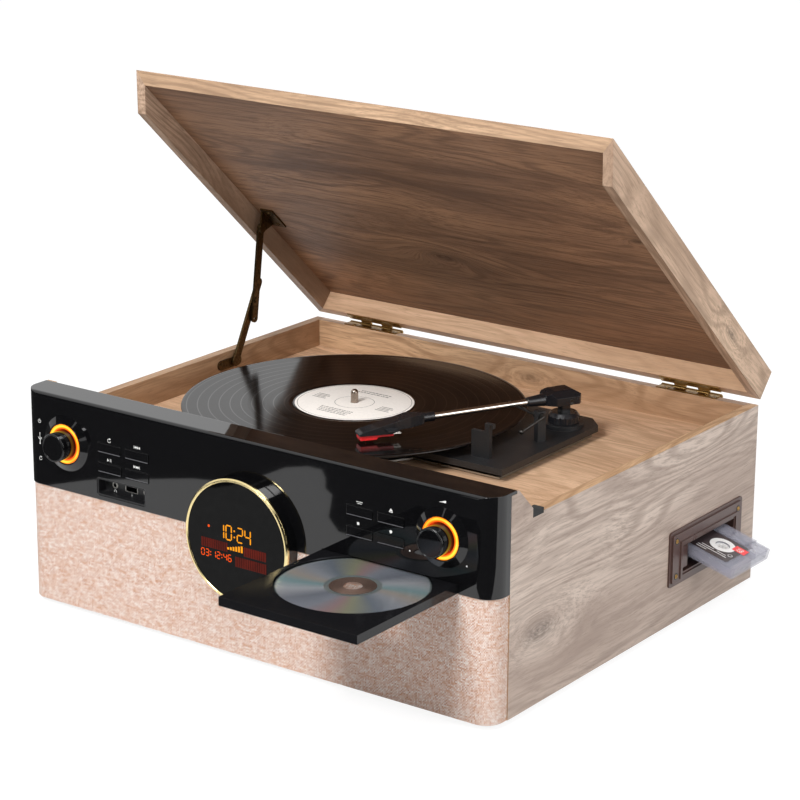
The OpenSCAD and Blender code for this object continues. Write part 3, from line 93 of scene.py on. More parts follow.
class Shader:
    """A material with a Principled shader, and short ways to add nodes."""

    def __init__(self, name, color=(0.5, 0.5, 0.5, 1), rough=0.5, metal=0.0, **sockets):
        self.mat = bpy.data.materials.new(name)
        self.mat.use_nodes = True
        self.tree = self.mat.node_tree
        self.bsdf = self.tree.nodes["Principled BSDF"]
        self.set(Base_Color=color, Roughness=rough, Metallic=metal, **sockets)

    def set(self, **sockets):
        """Feeds the shader's sockets, each named with _ for a space."""
        for key, value in sockets.items():
            self.feed(self.bsdf.inputs[key.replace("_", " ")], value)

    def feed(self, socket, value):
        if isinstance(value, bpy.types.NodeSocket):
            self.tree.links.new(value, socket)
        else:
            socket.default_value = value

    def add(self, kind, values=(), **props):
        made = self.tree.nodes.new(kind)
        for key, value in props.items():
            setattr(made, key, value)
        for key, value in dict(values).items():
            self.feed(made.inputs[key], value)
        return made

    def place(self):
        return self.add("ShaderNodeTexCoord").outputs["Object"]

    def coords(self, scale=(1, 1, 1), turn=(0, 0, 0), shift=(0, 0, 0)):
        turned = self.add("ShaderNodeMapping", {"Vector": self.place(), "Rotation": turn, "Location": shift})
        return self.scaled(turned.outputs[0], scale)

    def scaled(self, vector, scale):
        return self.add("ShaderNodeMapping", {"Vector": vector, "Scale": scale}).outputs[0]

    def split(self, vector):
        return self.add("ShaderNodeSeparateXYZ", {0: vector}).outputs

    def join(self, x, y, z):
        return self.add("ShaderNodeCombineXYZ", {0: x, 1: y, 2: z}).outputs[0]

    def math(self, operation, a, b=0.5):
        return self.add("ShaderNodeMath", {0: a, 1: b}, operation=operation).outputs[0]

    def times(self, a, b):
        return self.math("MULTIPLY", a, b)

    def plus(self, a, b):
        return self.math("ADD", a, b)

    def minus(self, a, b):
        return self.math("SUBTRACT", a, b)

    def total(self, *parts):
        """The sum of (socket, weight) pairs."""
        out = None
        for socket, weight in parts:
            part = self.times(socket, weight)
            out = part if out is None else self.plus(out, part)
        return out

    def length(self, *parts):
        """The length of a vector with these parts."""
        out = None
        for part in parts:
            square = self.times(part, part)
            out = square if out is None else self.plus(out, square)
        return self.math("SQRT", out)

    def noise(self, vector, detail=3.0, rough=0.5):
        values = {"Vector": vector, "Scale": 1.0, "Detail": detail, "Roughness": rough}
        return self.add("ShaderNodeTexNoise", values).outputs[0]

    def cloud(self, scale, detail=2.0, rough=0.5):
        """Noise with the same scale along all three axes."""
        return self.noise(self.coords((scale, scale, scale)), detail, rough)

    def ramp(self, fac, *stops):
        made = self.add("ShaderNodeValToRGB", {0: fac})
        points = made.color_ramp.elements
        while len(points) < len(stops):
            points.new(0.5)
        for point, (place, color) in zip(points, stops):
            point.position = place
            point.color = color
        return made.outputs[0]

    def grey(self, fac, low, high, bottom=0.0, top=1.0):
        """bottom where fac is low or less, top where it is high or more, and a slope between."""
        return self.add("ShaderNodeMapRange", {0: fac, 1: low, 2: high, 3: bottom, 4: top}).outputs[0]

    def mix(self, fac, a, b, blend="MIX"):
        """A colour between a and b."""
        made = self.add("ShaderNodeMix", data_type="RGBA", blend_type=blend)
        for index, value in ((0, fac), (6, a), (7, b)):
            self.feed(made.inputs[index], value)
        return made.outputs[2]

    def bump(self, height, strength=0.3, distance=0.001, under=None):
        made = self.add("ShaderNodeBump", {"Height": height, "Strength": strength, "Distance": distance})
        if under is not None:
            self.feed(made.inputs["Normal"], under)
        self.set(Normal=made.outputs[0])

    def soft_edges(self, radius, seam=None):
        """Rounded edges, left sharp at the height of a seam between two coplanar pieces."""
        rounded = self.add("ShaderNodeBevel", {"Radius": radius}, samples=4).outputs[0]
        if seam is None:
            return rounded
        away = self.math("ABSOLUTE", self.minus(self.split(self.place())[2], seam))
        plain = self.add("ShaderNodeNewGeometry").outputs["Normal"]
        made = self.add("ShaderNodeMix", data_type="VECTOR")
        for index, value in ((0, self.grey(away, 1.2 * MM, 2.0 * MM)), (4, plain), (5, rounded)):
            self.feed(made.inputs[index], value)
        return made.outputs[1]

    def facing(self, direction, low=0.6, high=0.85):
        """1 where the object's own surface faces that way."""
        normal = self.add("ShaderNodeTexCoord").outputs["Normal"]
        dot = self.add("ShaderNodeVectorMath", {0: normal, 1: direction}, operation="DOT_PRODUCT")
        return self.grey(dot.outputs["Value"], low, high)

    def outward(self):
        """1 on faces that look away from the middle, to the left or right."""
        normal = self.split(self.add("ShaderNodeTexCoord").outputs["Normal"])[0]
        side = self.math("SIGN", self.split(self.place())[0])
        return self.grey(self.times(normal, side), 0.5, 0.8)


# Materials

def tones(light, middle, dark):
    return tuple(srgb(*c) for c in (light, middle, dark))


def wood(name, tone, other=None, where=None, turn=(0, 0, 0), shift=(0, 0, 0), knots=()):
    """Oak veneer with its grain along the turned X axis, in other tones on the faces that where picks, as
    painted light and shade for how those faces are lit.

    knots holds the x, y, z and radius of each knot, in the turned axes and in metres.
    """
    rings, smooth, matt = 230, 0.44, 0.60
    s = Shader(name)
    base = s.coords(turn=turn, shift=shift)
    x, y, z = s.split(base)
    drift = s.minus(s.noise(s.scaled(base, (3.2, 7, 7)), 2.0), 0.5)
    across, height = s.total((y, 1.0), (drift, 0.055)), s.total((z, 1.0), (drift, 0.055))
    eye = None
    for kx, ky, kz, size in knots:
        far = s.length(s.times(s.minus(x, kx), 0.42), s.minus(y, ky), s.minus(z, kz))
        push = s.times(s.math("POWER", s.grey(far, size, 0.0), 2.0), size * 1.1)
        across = s.plus(across, push)
        core = s.grey(far, size * 0.30, size * 0.04)
        eye = core if eye is None else s.math("MAXIMUM", eye, core)
    grain = s.join(x, across, height)
    broad = s.noise(s.scaled(grain, (2.4, 17, 17)), 3.0, 0.55)
    field = s.noise(s.scaled(grain, (1.5, 9, 9)), 2.5, 0.45)
    waves = s.math("SINE", s.times(field, rings))
    clear = s.grey(s.noise(s.scaled(grain, (4, 26, 26)), 2.0), 0.34, 0.58)
    late = s.times(s.grey(waves, -0.1, 1.0), clear)
    streak = s.noise(s.scaled(grain, (9, 210, 210)), 2.0, 0.6)
    fibre = s.noise(s.scaled(grain, (24, 560, 560)), 3.0, 0.65)
    pores = s.grey(s.noise(s.scaled(grain, (60, 1500, 1500)), 1.0), 0.62, 0.74)
    fac = s.total((broad, 0.8), (fibre, 0.2))

    def coloured(light, middle, dark):
        color = s.ramp(fac, (0.34, shade(dark, 1.10)), (0.47, middle), (0.60, shade(light, 1.06)))
        for share, by in ((s.times(late, 0.62), 1.0), (s.grey(streak, 0.48, 0.64, 0.0, 0.40), 0.95),
                          (s.grey(fibre, 0.46, 0.62, 0.0, 0.55), 0.90), (s.times(pores, 0.38), 0.55)):
            color = s.mix(share, color, shade(dark, by))
        if eye is not None:
            ragged = s.grey(s.noise(s.scaled(grain, (150, 380, 380)), 3.0), 0.35, 0.6, 0.35, 1.0)
            color = s.mix(s.times(s.times(eye, ragged), 0.8), color, shade(dark, 0.36))
        return color

    color = coloured(*tone)
    if other:
        color = s.mix(where(s), color, coloured(*other))
    s.set(Base_Color=color, Roughness=s.grey(fibre, 0.3, 0.7, smooth, matt))
    relief = s.total((fibre, 1.0), (pores, -0.6), (late, -0.4))
    s.bump(relief, 0.20, 0.0004, s.soft_edges(0.6 * MM))
    return s.mat


def woven_cloth(name):
    """Coarse linen: warp and weft threads over and under each other, with darker flecks, and painted shade in
    the gaps between the threads.
    """
    s = Shader(name, rough=0.95)
    x, y, z = s.split(s.place())
    pitch = 1.25 * MM
    wobble = s.times(s.minus(s.cloud(90), 0.5), 0.9)
    along = s.plus(s.math("ABSOLUTE", x), y)
    u = s.plus(s.math("DIVIDE", along, pitch), wobble)
    v = s.plus(s.math("DIVIDE", z, pitch), wobble)
    cell_u, cell_v = s.math("FLOOR", u), s.math("FLOOR", v)
    hump_u = s.math("SINE", s.times(s.math("FRACT", u), math.pi))
    hump_v = s.math("SINE", s.times(s.math("FRACT", v), math.pi))
    over = s.math("MODULO", s.plus(s.plus(cell_u, cell_v), 4000), 2.0)
    over = s.grey(over, 0.4, 0.6)
    warp = s.noise(s.join(s.times(cell_u, 7.31), s.times(v, 0.22), 0.0), 2.0, 0.6)
    weft = s.noise(s.join(s.times(u, 0.15), s.times(cell_v, 5.17), 9.0), 2.0, 0.6)
    warm = ((0.36, srgb(198, 138, 104)), (0.48, srgb(224, 180, 154)), (0.62, srgb(242, 222, 210)))
    pale = ((0.34, srgb(226, 180, 154)), (0.46, srgb(240, 214, 200)), (0.60, srgb(252, 246, 242)))
    color = s.mix(over, s.ramp(warp, *warm), s.ramp(weft, *pale))
    flecks = s.noise(s.join(s.times(along, 210), 0.0, s.times(z, 760)), 2.0)
    color = s.mix(s.grey(flecks, 0.50, 0.66, 0.0, 0.34), color, srgb(208, 150, 116))
    both = s.times(hump_u, hump_v)
    # painted shade: the colour is multiplied down to 0.66 where the threads dip, in the gaps between them
    gap = s.grey(both, 0.0, 0.42, 0.66, 1.0)
    color = s.mix(1.0, color, s.join(gap, gap, gap), "MULTIPLY")
    s.set(Base_Color=color)
    rise = s.math("POWER", s.math("MAXIMUM", hump_u, hump_v), 2.0)
    fuzz = s.cloud(3000)
    s.bump(s.total((both, 0.6), (rise, 0.4), (fuzz, 0.25)), 0.6, 0.0006)
    return s.mat


def plastic(name, color, rough=0.35, grain=0.0, grain_size=900, edge=0.4 * MM, coat=0.0, smudge=0.05,
            alpha=1.0, specular=0.5):
    """Moulded plastic with faint unevenness, and a moulded grain where grain is above 0."""
    s = Shader(name, color, rough)
    s.set(Coat_Weight=coat, Coat_Roughness=0.03, Alpha=alpha, Specular_IOR_Level=specular)
    cloud = s.cloud(30, 4.0, 0.6)
    speck = s.cloud(grain_size)
    s.set(Roughness=s.grey(cloud, 0.3, 0.7, max(rough - smudge, 0.02), rough + smudge))
    tint = tuple(min(1.0, c * 1.25 + 0.002) for c in color[:3]) + (1,)
    s.set(Base_Color=s.mix(s.grey(speck, 0.4, 0.7, 0.0, 0.6), color, tint))
    s.bump(speck, max(grain, 0.01), 0.0005, s.soft_edges(edge) if edge else None)
    return s.mat


def gloss(name, rough=0.035, seam=None):
    """Polished black moulding: one clear reflection, faintly wavy, with a little dust."""
    black = (0.0035, 0.0035, 0.004, 1)
    s = Shader(name, black, rough, IOR=1.55)
    wave = s.cloud(16)
    dust = s.grey(s.cloud(1500, 1.0), 0.70, 0.80)
    s.set(Base_Color=s.mix(dust, black, (0.02, 0.02, 0.021, 1)),
          Roughness=s.grey(dust, 0.0, 1.0, rough, rough + 0.12))
    s.bump(wave, 0.04, 0.0010, s.soft_edges(0.7 * MM, seam))
    return s.mat


def metal(name, color, rough=0.3, brush=(1, 1, 1), scale=600, strength=0.08, dark=0.8):
    """Brushed or slightly uneven metal; brush stretches the marks along an axis."""
    s = Shader(name, color, rough, 1.0)
    marks = s.noise(s.coords(tuple(scale * b for b in brush)), 4.0, 0.6)
    s.set(Roughness=s.grey(marks, 0.3, 0.7, max(0.03, rough - 0.08), rough + 0.12))
    s.set(Base_Color=s.mix(s.grey(marks, 0.35, 0.7), color, shade(color, dark)))
    s.bump(marks, strength, 0.0003, s.soft_edges(0.3 * MM))
    return s.mat


def lit(name, color, strength, noise=0.1):
    """A glowing surface, a little brighter in places."""
    s = Shader(name, shade(color, 0.2), 0.35, Emission_Color=color, Specular_IOR_Level=0.1)
    glow = s.cloud(60)
    s.set(Emission_Strength=s.grey(glow, 0.35, 0.65, strength * (1 - noise), strength * (1 + noise)))
    return s.mat


def glow_ring(name):
    """Amber light guide, yellow along its middle and deep orange towards its two edges."""
    middle = 15.5 * MM
    s = Shader(name, (0.02, 0.01, 0.005, 1), 0.35, Emission_Strength=1.35)
    x, y, z = s.split(s.place())
    far = s.length(s.minus(s.math("ABSOLUTE", x), abs(KNOB_X)), s.minus(z, KNOB_Z))
    spots = s.cloud(70, 1.0)
    off = s.math("ABSOLUTE", s.minus(far, middle))
    heat = s.times(s.grey(off, 2.5 * MM, 0.5 * MM), s.grey(spots, 0.3, 0.7, 0.75, 1.2))
    color = s.ramp(heat, (0.0, srgb(150, 30, 0)), (0.35, srgb(246, 88, 0)), (0.70, srgb(255, 150, 8)),
                   (1.0, srgb(255, 214, 60)))
    s.set(Emission_Color=color)
    return s.mat


def vinyl(name):
    """Pressed record: fine grooves round the spindle, with a shiny line between two tracks."""
    track_wide, label_edge, first_track = 9.4 * MM, 56 * MM, 60 * MM
    s = Shader(name, rough=0.12, Anisotropic=0.6)
    x, y = s.split(s.coords(shift=(-SPIN_X, -SPIN_Y, 0)))[:2]
    far = s.length(x, y)
    track = s.noise(s.join(s.times(far, 150), 0.0, 0.0), 2.0, 0.6)
    groove = s.noise(s.join(s.times(far, 2400), 0.0, 3.0), 2.0)
    rest = s.math("FRACT", s.math("DIVIDE", far, track_wide))
    line = s.times(s.grey(s.math("ABSOLUTE", s.minus(rest, 0.5)), 0.055, 0.02),
                  s.grey(far, label_edge, first_track))
    s.set(Roughness=s.grey(track, 0.35, 0.65, 0.09, 0.15),
          Specular_IOR_Level=s.grey(line, 0.0, 1.0, 0.22, 0.85),
          Base_Color=s.ramp(track, (0.35, srgb(9, 7, 6)), (0.65, srgb(17, 12, 11))),
          Tangent=s.add("ShaderNodeTangent", direction_type="RADIAL", axis="Z").outputs[0])
    s.bump(groove, 0.05, 0.0002)
    return s.mat


def disc_silver(name):
    """The disc's data side: grey mirror, with painted reflection: rainbow colours and lighter and darker wedges
    that change round the hub.
    """
    s = Shader(name, rough=0.24, metal=0.7, Anisotropic=0.7)
    x, y = s.split(s.coords(shift=(-DISC_X, -DISC_Y, 0)))[:2]
    far = s.length(x, y)
    swirl = s.times(s.math("ARCTAN2", y, x), 1 / math.pi)
    turns = s.math("FRACT", s.total((swirl, 1.0), (far, 1.2), (0.13, 1.0)))
    # painted reflection: the disc's rainbow and its light and dark wedges are put into its colour
    painted_rainbow = s.ramp(turns, (0.0, srgb(150, 160, 172)), (0.12, srgb(186, 190, 198)), (0.22, srgb(196, 186, 176)),
                 (0.31, srgb(152, 184, 188)), (0.42, srgb(204, 208, 214)), (0.55, srgb(150, 156, 168)),
                 (0.68, srgb(178, 184, 196)), (0.79, srgb(204, 172, 172)), (0.87, srgb(190, 190, 160)),
                 (1.0, srgb(150, 160, 172)))
    s.set(Base_Color=painted_rainbow,
          Tangent=s.add("ShaderNodeTangent", direction_type="RADIAL", axis="Z").outputs[0])
    fine = s.noise(s.join(s.times(far, 4000), 0.0, 0.0), 1.0)
    s.bump(fine, 0.03, 0.0001)
    return s.mat


def paper(name, color):
    """Uncoated paper, or ink printed on it."""
    s = Shader(name, color, 0.75)
    fibre = s.cloud(500, 4.0, 0.7)
    s.set(Base_Color=s.mix(s.grey(fibre, 0.4, 0.65), color, shade(color, 0.93)))
    s.bump(fibre, 0.06, 0.0003)
    return s.mat


# Mesh helpers

def new_object(name, data):
    made = bpy.data.objects.new(name, data)
    bpy.context.collection.objects.link(made)
    return made


def piece(name, mesh_maker, body, material, smooth=False):
    """A new object from a bmesh that mesh_maker fills, riding on a body."""
    bm = bmesh.new()
    mesh_maker(bm)
    bmesh.ops.recalc_face_normals(bm, faces=bm.faces)
    mesh = bpy.data.meshes.new(name)
    bm.to_mesh(mesh)
    bm.free()
    for polygon in mesh.polygons:
        polygon.use_smooth = smooth
    made = new_object(name, mesh)
    mesh.materials.append(material)
    if smooth:
        mesh.set_sharp_from_angle(angle=math.radians(35))
    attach(made, body)
    return made


def prism(bm, outline, low, high, place):
    """A flat outline of (x, y) points made thick from low to high, put in place by a matrix."""
    under = [bm.verts.new(place @ Vector((x, y, low))) for x, y in outline]
    over = [bm.verts.new(place @ Vector((x, y, high))) for x, y in outline]
    bm.faces.new(under[::-1])
    bm.faces.new(over)
    for a, b, c, d in zip(under, under[1:] + under[:1], over[1:] + over[:1], over):
        bm.faces.new((a, b, c, d))


def mm(*points, above=0.0):
    """Points given in millimetres, as metres, with their second value counted from above."""
    return [(x * MM, above + y * MM) for x, y in points]


def box(x0, y0, x1, y1):
    return [(x0, y0), (x1, y0), (x1, y1), (x0, y1)]


def bar(bm, x0, y0, x1, y1, low, high, place):
    prism(bm, box(x0, y0, x1, y1), low, high, place)


def bar_mm(bm, place, *sizes):
    """As bar, with its six sizes in millimetres."""
    bar(bm, *(size * MM for size in sizes), place)


def plate(bm, outline, holes, low, high, place):
    """As prism, with holes through it."""
    rings = [[bm.verts.new((x, y, 0)) for x, y in loop] for loop in (outline, *holes)]
    edges = [bm.edges.new(pair) for ring in rings for pair in zip(ring, ring[1:] + ring[:1])]
    flat = bmesh.ops.triangle_fill(bm, edges=edges, use_beauty=True, use_dissolve=False)["geom"]
    over = {v: bm.verts.new(place @ Vector((v.co.x, v.co.y, high))) for ring in rings for v in ring}
    for face in [g for g in flat if isinstance(g, bmesh.types.BMFace)]:
        bm.faces.new([over[v] for v in face.verts])
    for ring in rings:
        for a, b in zip(ring, ring[1:] + ring[:1]):
            bm.faces.new((a, b, over[b], over[a]))
        for v in ring:
            v.co = place @ Vector((v.co.x, v.co.y, low))


def ring_points(bm, r, h, place, steps):
    angles = [2 * math.pi * i / steps for i in range(steps)]
    return [bm.verts.new(place @ Vector((r * math.cos(a), r * math.sin(a), h))) for a in angles]


def lathe(bm, profile, place, steps=96):
    """Turns a closed profile of (radius, height) points round the Z axis, put in place by a matrix."""
    rings = [ring_points(bm, r, h, place, steps) for r, h in profile]
    for a, b in zip(rings, rings[1:] + rings[:1]):
        for i in range(steps):
            j = (i + 1) % steps
            bm.faces.new((a[i], a[j], b[j], b[i]))


def washer(bm, inner, outer, low, high, place, steps=96):
    """A ring of rectangular section round the Z axis."""
    lathe(bm, [(inner, low), (inner, high), (outer, high), (outer, low)], place, steps)


def solid_lathe(bm, profile, place, steps):
    """As lathe, for a solid whose profile starts and ends on the axis."""
    first = bm.verts.new(place @ Vector((0, 0, profile[0][1])))
    last = bm.verts.new(place @ Vector((0, 0, profile[-1][1])))
    rings = [ring_points(bm, r, h, place, steps) for r, h in profile[1:-1]]
    for i in range(steps):
        j = (i + 1) % steps
        bm.faces.new((first, rings[0][j], rings[0][i]))
        bm.faces.new((last, rings[-1][i], rings[-1][j]))
        for a, b in zip(rings, rings[1:]):
            bm.faces.new((a[i], a[j], b[j], b[i]))


def facing_front(x, y, z):
    """A place on the front: its X runs right, its Y up and its Z out towards the viewer."""
    return moved(x, y, z) @ turned(QUARTER, "X")


def facing(direction, at):
    """A place whose Z points along direction."""
    return moved(*at) @ Vector(direction).to_track_quat("Z", "Y").to_matrix().to_4x4()


def arc(cx, cy, r, start, end, steps):
    angles = [math.radians(start + (end - start) * i / steps) for i in range(steps + 1)]
    return [(cx + r * math.cos(a), cy + r * math.sin(a)) for a in angles]


def circle(cx, cy, r, steps=32):
    return arc(cx, cy, r, 0, 360 * (steps - 1) / steps, steps - 1)


def band(points, width):
    """The outline of a line of that width through the points."""
    left, right = [], []
    for i, (x, y) in enumerate(points):
        x0, y0 = points[max(i - 1, 0)]
        x1, y1 = points[min(i + 1, len(points) - 1)]
        length = math.hypot(x1 - x0, y1 - y0) or 1.0
        nx, ny = -(y1 - y0) / length * width / 2, (x1 - x0) / length * width / 2
        left.append((x + nx, y + ny))
        right.append((x - nx, y - ny))
    return left + right[::-1]


def paint(node, material):
    """Gives a CAD node a material on its object's own slots."""
    made = NODES[node]
    if not made.material_slots:
        made.data.materials.append(material)
    for place in made.material_slots:
        place.link = "OBJECT"
        place.material = material


# Tones of one oak, picked for how each face is lit: painted light and shade. The cabinet's sides and back get a
# paler, greyer copy on faces that look outwards and a warmer one on inward faces and edges.
SIDE = tones((212, 194, 180), (197, 177, 163), (160, 140, 127))
WARM = tones((206, 170, 134), (187, 151, 118), (154, 118, 86))
# painted shade: a much darker copy of the oak for the open lid's underside
LID_UNDER_SHADE = tones((172, 131, 99), (148, 112, 86), (104, 76, 58))
EDGE = tones((236, 202, 166), (222, 186, 151), (178, 145, 115))
DECK = tones((236, 200, 166), (220, 182, 149), (184, 146, 112))
# painted light and shade: a lighter copy of the oak for the lid's outer side faces and a darker one for its
# inner walls
LID_SIDE = tones((224, 192, 163), (208, 175, 148), (160, 131, 106))
LID_WALL_SHADE = tones((196, 166, 142), (178, 148, 124), (140, 112, 90))
LID_IN = (0, math.sin(LID_TILT), -math.cos(LID_TILT))

M = {
    # painted light: the sides' outward faces in a paler, greyer copy of the oak than their inward faces and top
    # edges
    "side": wood("oak_side", WARM, SIDE, Shader.outward, (0, 0, QUARTER),
                 knots=((0.150, 0.24, 0.066, 0.045), (-0.150, -0.24, 0.09, 0.045))),
    # painted light: the back's inward face in a warmer copy of the oak than its outer face
    "back": wood("oak_back", SIDE, WARM, lambda s: s.facing((0, -1, 0), -0.5, 0.5),
                 knots=((0.011, 0.185, 0.149, 0.022),)),
    "deck": wood("oak_deck", DECK, shift=(0.35, 0.02, 0.1)),
    # painted shade: the lid's underside much darker than its outer faces
    "lid_top": wood("oak_lid", EDGE, LID_UNDER_SHADE, lambda s: s.facing(LID_IN), (-LID_TILT, 0, 0),
                    knots=((-0.037, -0.100, 0.275, 0.040), (0.203, -0.193, 0.275, 0.022))),
    # painted shade: the lid's inner walls darker than its outer side faces
    "lid_side": wood("oak_lid_side", LID_WALL_SHADE, LID_SIDE, Shader.outward, (-LID_TILT, 0, QUARTER),
                     knots=((0.0575, 0.24, 0.271, 0.022),)),
    "lid_rail": wood("oak_lid_rail", DECK, turn=(-LID_TILT, 0, 0), shift=(0.1, 0, 0)),
    "board": wood("fibreboard", tones((170, 140, 105), (150, 120, 88), (130, 100, 72))),
    "cloth": woven_cloth("linen"),
    "gloss": gloss("gloss_black"),
    "fascia": gloss("fascia_black", seam=SEAM_Z),
    "satin": plastic("satin_black", (0.010, 0.010, 0.011, 1), 0.32, 0.05),
    "grained": plastic("grained_black", (0.010, 0.010, 0.011, 1), 0.42, 0.9, 1300),
    "arm": plastic("arm_black", (0.008, 0.008, 0.010, 1), 0.26, 0.25, 1500),
    "tray": plastic("tray_black", (0.007, 0.007, 0.008, 1), 0.12, 0.05, 1600, smudge=0.03, specular=0.3),
    "mechanism": plastic("mechanism_grey", (0.030, 0.030, 0.033, 1), 0.42, 0.12, 1600),
    "gold": metal("pale_gold", (0.90, 0.74, 0.38, 1), 0.12, scale=250, strength=0.02, dark=0.93),
    "glass": plastic("dark_glass", (0.002, 0.002, 0.002, 1), 0.03, 0.0, 200, edge=0, smudge=0.01,
                     specular=0.10),
    "glow": glow_ring("amber_glow"),
    "circuit": plastic("circuit_board", (0.02, 0.10, 0.045, 1), 0.45, 0.1),
    "rubber": plastic("rubber_black", (0.018, 0.018, 0.018, 1), 0.8, 0.35, 1500),
    "brass": metal("worn_brass", srgb(176, 140, 84), 0.34, scale=500, strength=0.2, dark=0.55),
    "antique": metal("antique_brass", srgb(104, 84, 56), 0.34, scale=420, strength=0.3, dark=0.35),
    "steel": metal("brushed_steel", srgb(190, 188, 182), 0.3, (1, 12, 12), 90),
    "chrome": metal("arm_chrome", srgb(214, 208, 200), 0.14, (1, 1, 1), 300, 0.02, 0.9),
    "vinyl": vinyl("record_vinyl"),
    "red": plastic("red_plastic", srgb(236, 30, 34), 0.28, 0.0, 500, coat=0.3),
    "silver": disc_silver("disc_mirror"),
    "brown": plastic("brown_plastic", srgb(80, 56, 50), 0.32, 0.15, 1500),
    "clear": plastic("clear_smoke", srgb(176, 176, 190), 0.06, 0.0, 700, 0.5 * MM, alpha=0.34),
    "hub_clear": plastic("clear_hub", srgb(92, 100, 100), 0.08, 0.0, 700, 0.3 * MM, alpha=0.75),
    "hub_print": metal("hub_print", srgb(176, 146, 132), 0.38, scale=1400, strength=0.3, dark=0.5),
    "band": plastic("band_smoke", srgb(66, 56, 58), 0.20, 0.0, 700, 0, alpha=0.86),
    "speaker": plastic("speaker_black", (0.02, 0.02, 0.02, 1), 0.6, 0.3),
    "ivory": plastic("ivory_plastic", srgb(214, 206, 184), 0.5, 0.1),
    "ink": plastic("white_ink", srgb(225, 225, 222), 0.5, 0.05, edge=0),
    "label": paper("label_paper", srgb(244, 238, 231)),
    "label_ink": paper("label_ink", srgb(88, 84, 82)),
    "white": plastic("white_plastic", srgb(236, 234, 232), 0.4, 0.05),
    "tape": plastic("tape_brown", srgb(60, 38, 28), 0.35, 0.05, 2000),
    "dark_head": metal("screw_black", srgb(70, 68, 66), 0.38, dark=0.6),
    "amber": lit("display_amber", srgb(250, 158, 22), 0.95),
    "orange": lit("display_orange", srgb(250, 84, 14), 0.9),
    # painted highlight: the light strip on each button's lower edge
    "edge": plastic("button_edge", srgb(84, 84, 88), 0.35, 0.05),
    "bronze": metal("spindle_bronze", srgb(160, 146, 134), 0.25),
    # painted glow: the display's unlit bars give off a faint red light
    "painted_glow": lit("display_ember", srgb(84, 16, 4), 0.9, 0.3),
}

BUTTONS = [f"button_{side}_{i}" for side in ("left", "right") for i in (1, 2, 3, 4)]
FINISH = {
    "side": ("side_panel_left", "side_panel_right"),
    "back": ("back_panel",),
    "board": ("bottom_panel", "front_baffle"),
    "deck": ("deck_board",),
    "lid_top": ("lid_top",),
    "lid_side": ("lid_sides",),
    "lid_rail": ("lid_back_rail",),
    "cloth": ("fabric_grille",),
    "fascia": ("fascia", "fascia_sill"),
    "gloss": ("knob_left", "knob_right", "display_drum", *BUTTONS),
    "gold": ("display_ring",),
    "glass": ("display_lens",),
    "glow": ("light_rings",),
    "satin": ("socket_panel", "rear_sockets"),
    "circuit": ("circuit_boards",),
    "speaker": ("speakers",),
    "rubber": ("feet", "lid_bumpers", "suspension_mounts", "drive_belt", "platter"),
    "brass": ("hinge_leaves_lower", "hinge_leaves_upper"),
    "antique": ("stay_bracket_lower", "stay_bracket_upper", "stay_arm_upper", "stay_arm_lower"),
    "steel": ("chassis_plate", "motor"),
    "dark_head": ("cue_lever",),
    "bronze": ("spindle",),
    "grained": ("turntable_plate",),
    "arm": ("arm_turret", "arm_block", "headshell"),
    "chrome": ("arm_tube",),
    "ivory": ("motor_pulley",),
    "red": ("cartridge",),
    "tray": ("cd_tray",),
    "mechanism": ("cd_mechanism", "cassette_mechanism"),
    "brown": ("cassette_bezel", "eject_button"),
    "vinyl": ("record",),
    "silver": ("compact_disc",),
    "clear": ("cassette",),
}
for material_key, node_names in FINISH.items():
    for node_name in node_names:
        paint(node_name, M[material_key])


# Camera, lights and floor

def make_camera():
    """The photograph's camera, solved from it: its place in metres and its turns in degrees."""
    eye = Vector((1.28434, -1.78957, 0.84936))
    yaw, pitch, roll = (math.radians(a) for a in (35.7254, -17.1078, 0.3824))
    ahead = Vector((-math.sin(yaw) * math.cos(pitch), math.cos(yaw) * math.cos(pitch), math.sin(pitch)))
    right = Vector((math.cos(yaw), math.sin(yaw), 0))
    up = right.cross(ahead)
    rolled_right = math.cos(roll) * right + math.sin(roll) * up
    rolled_up = -math.sin(roll) * right + math.cos(roll) * up
    data = bpy.data.cameras.new("camera")
    data.sensor_width = 36
    data.lens = 120.95
    data.clip_start, data.clip_end = 0.05, 50
    made = new_object("camera", data)
    place = Matrix((rolled_right, rolled_up, -ahead)).transposed().to_4x4()
    place.translation = eye
    made.matrix_world = place
    bpy.context.scene.camera = made


def lamp(name, at, target, size, power):
    """A white area light of that size in metres and power in watts."""
    data = bpy.data.lights.new(name, "AREA")
    data.shape = "RECTANGLE"
    data.size, data.size_y = size
    data.energy = power
    new_object(name, data).matrix_world = facing(Vector(at) - Vector(target), at)


def seen_rays(tree):
    """1 for rays from the camera, and for those that gloss and glass send on."""
    path = tree.nodes.new("ShaderNodeLightPath")
    out = path.outputs["Is Camera Ray"]
    for kind in ("Is Glossy Ray", "Is Transmission Ray"):
        most = tree.nodes.new("ShaderNodeMath")
        most.operation = "MAXIMUM"
        tree.links.new(out, most.inputs[0])
        tree.links.new(path.outputs[kind], most.inputs[1])
        out = most.outputs[0]
    return out


def make_world():
    """Soft light on the object, and plain white where the camera or a reflection sees it."""
    world = bpy.data.worlds.new("studio")
    bpy.context.scene.world = world
    world.use_nodes = True
    tree = world.node_tree
    soft = tree.nodes["Background"]
    soft.inputs[0].default_value = (0.97, 0.98, 1.0, 1)
    soft.inputs[1].default_value = 0.41
    white = tree.nodes.new("ShaderNodeBackground")
    white.inputs[0].default_value = (1, 1, 1, 1)
    mix = tree.nodes.new("ShaderNodeMixShader")
    tree.links.new(seen_rays(tree), mix.inputs[0])
    tree.links.new(soft.outputs[0], mix.inputs[1])
    tree.links.new(white.outputs[0], mix.inputs[2])
    tree.links.new(mix.outputs[0], tree.nodes["World Output"].inputs[0])


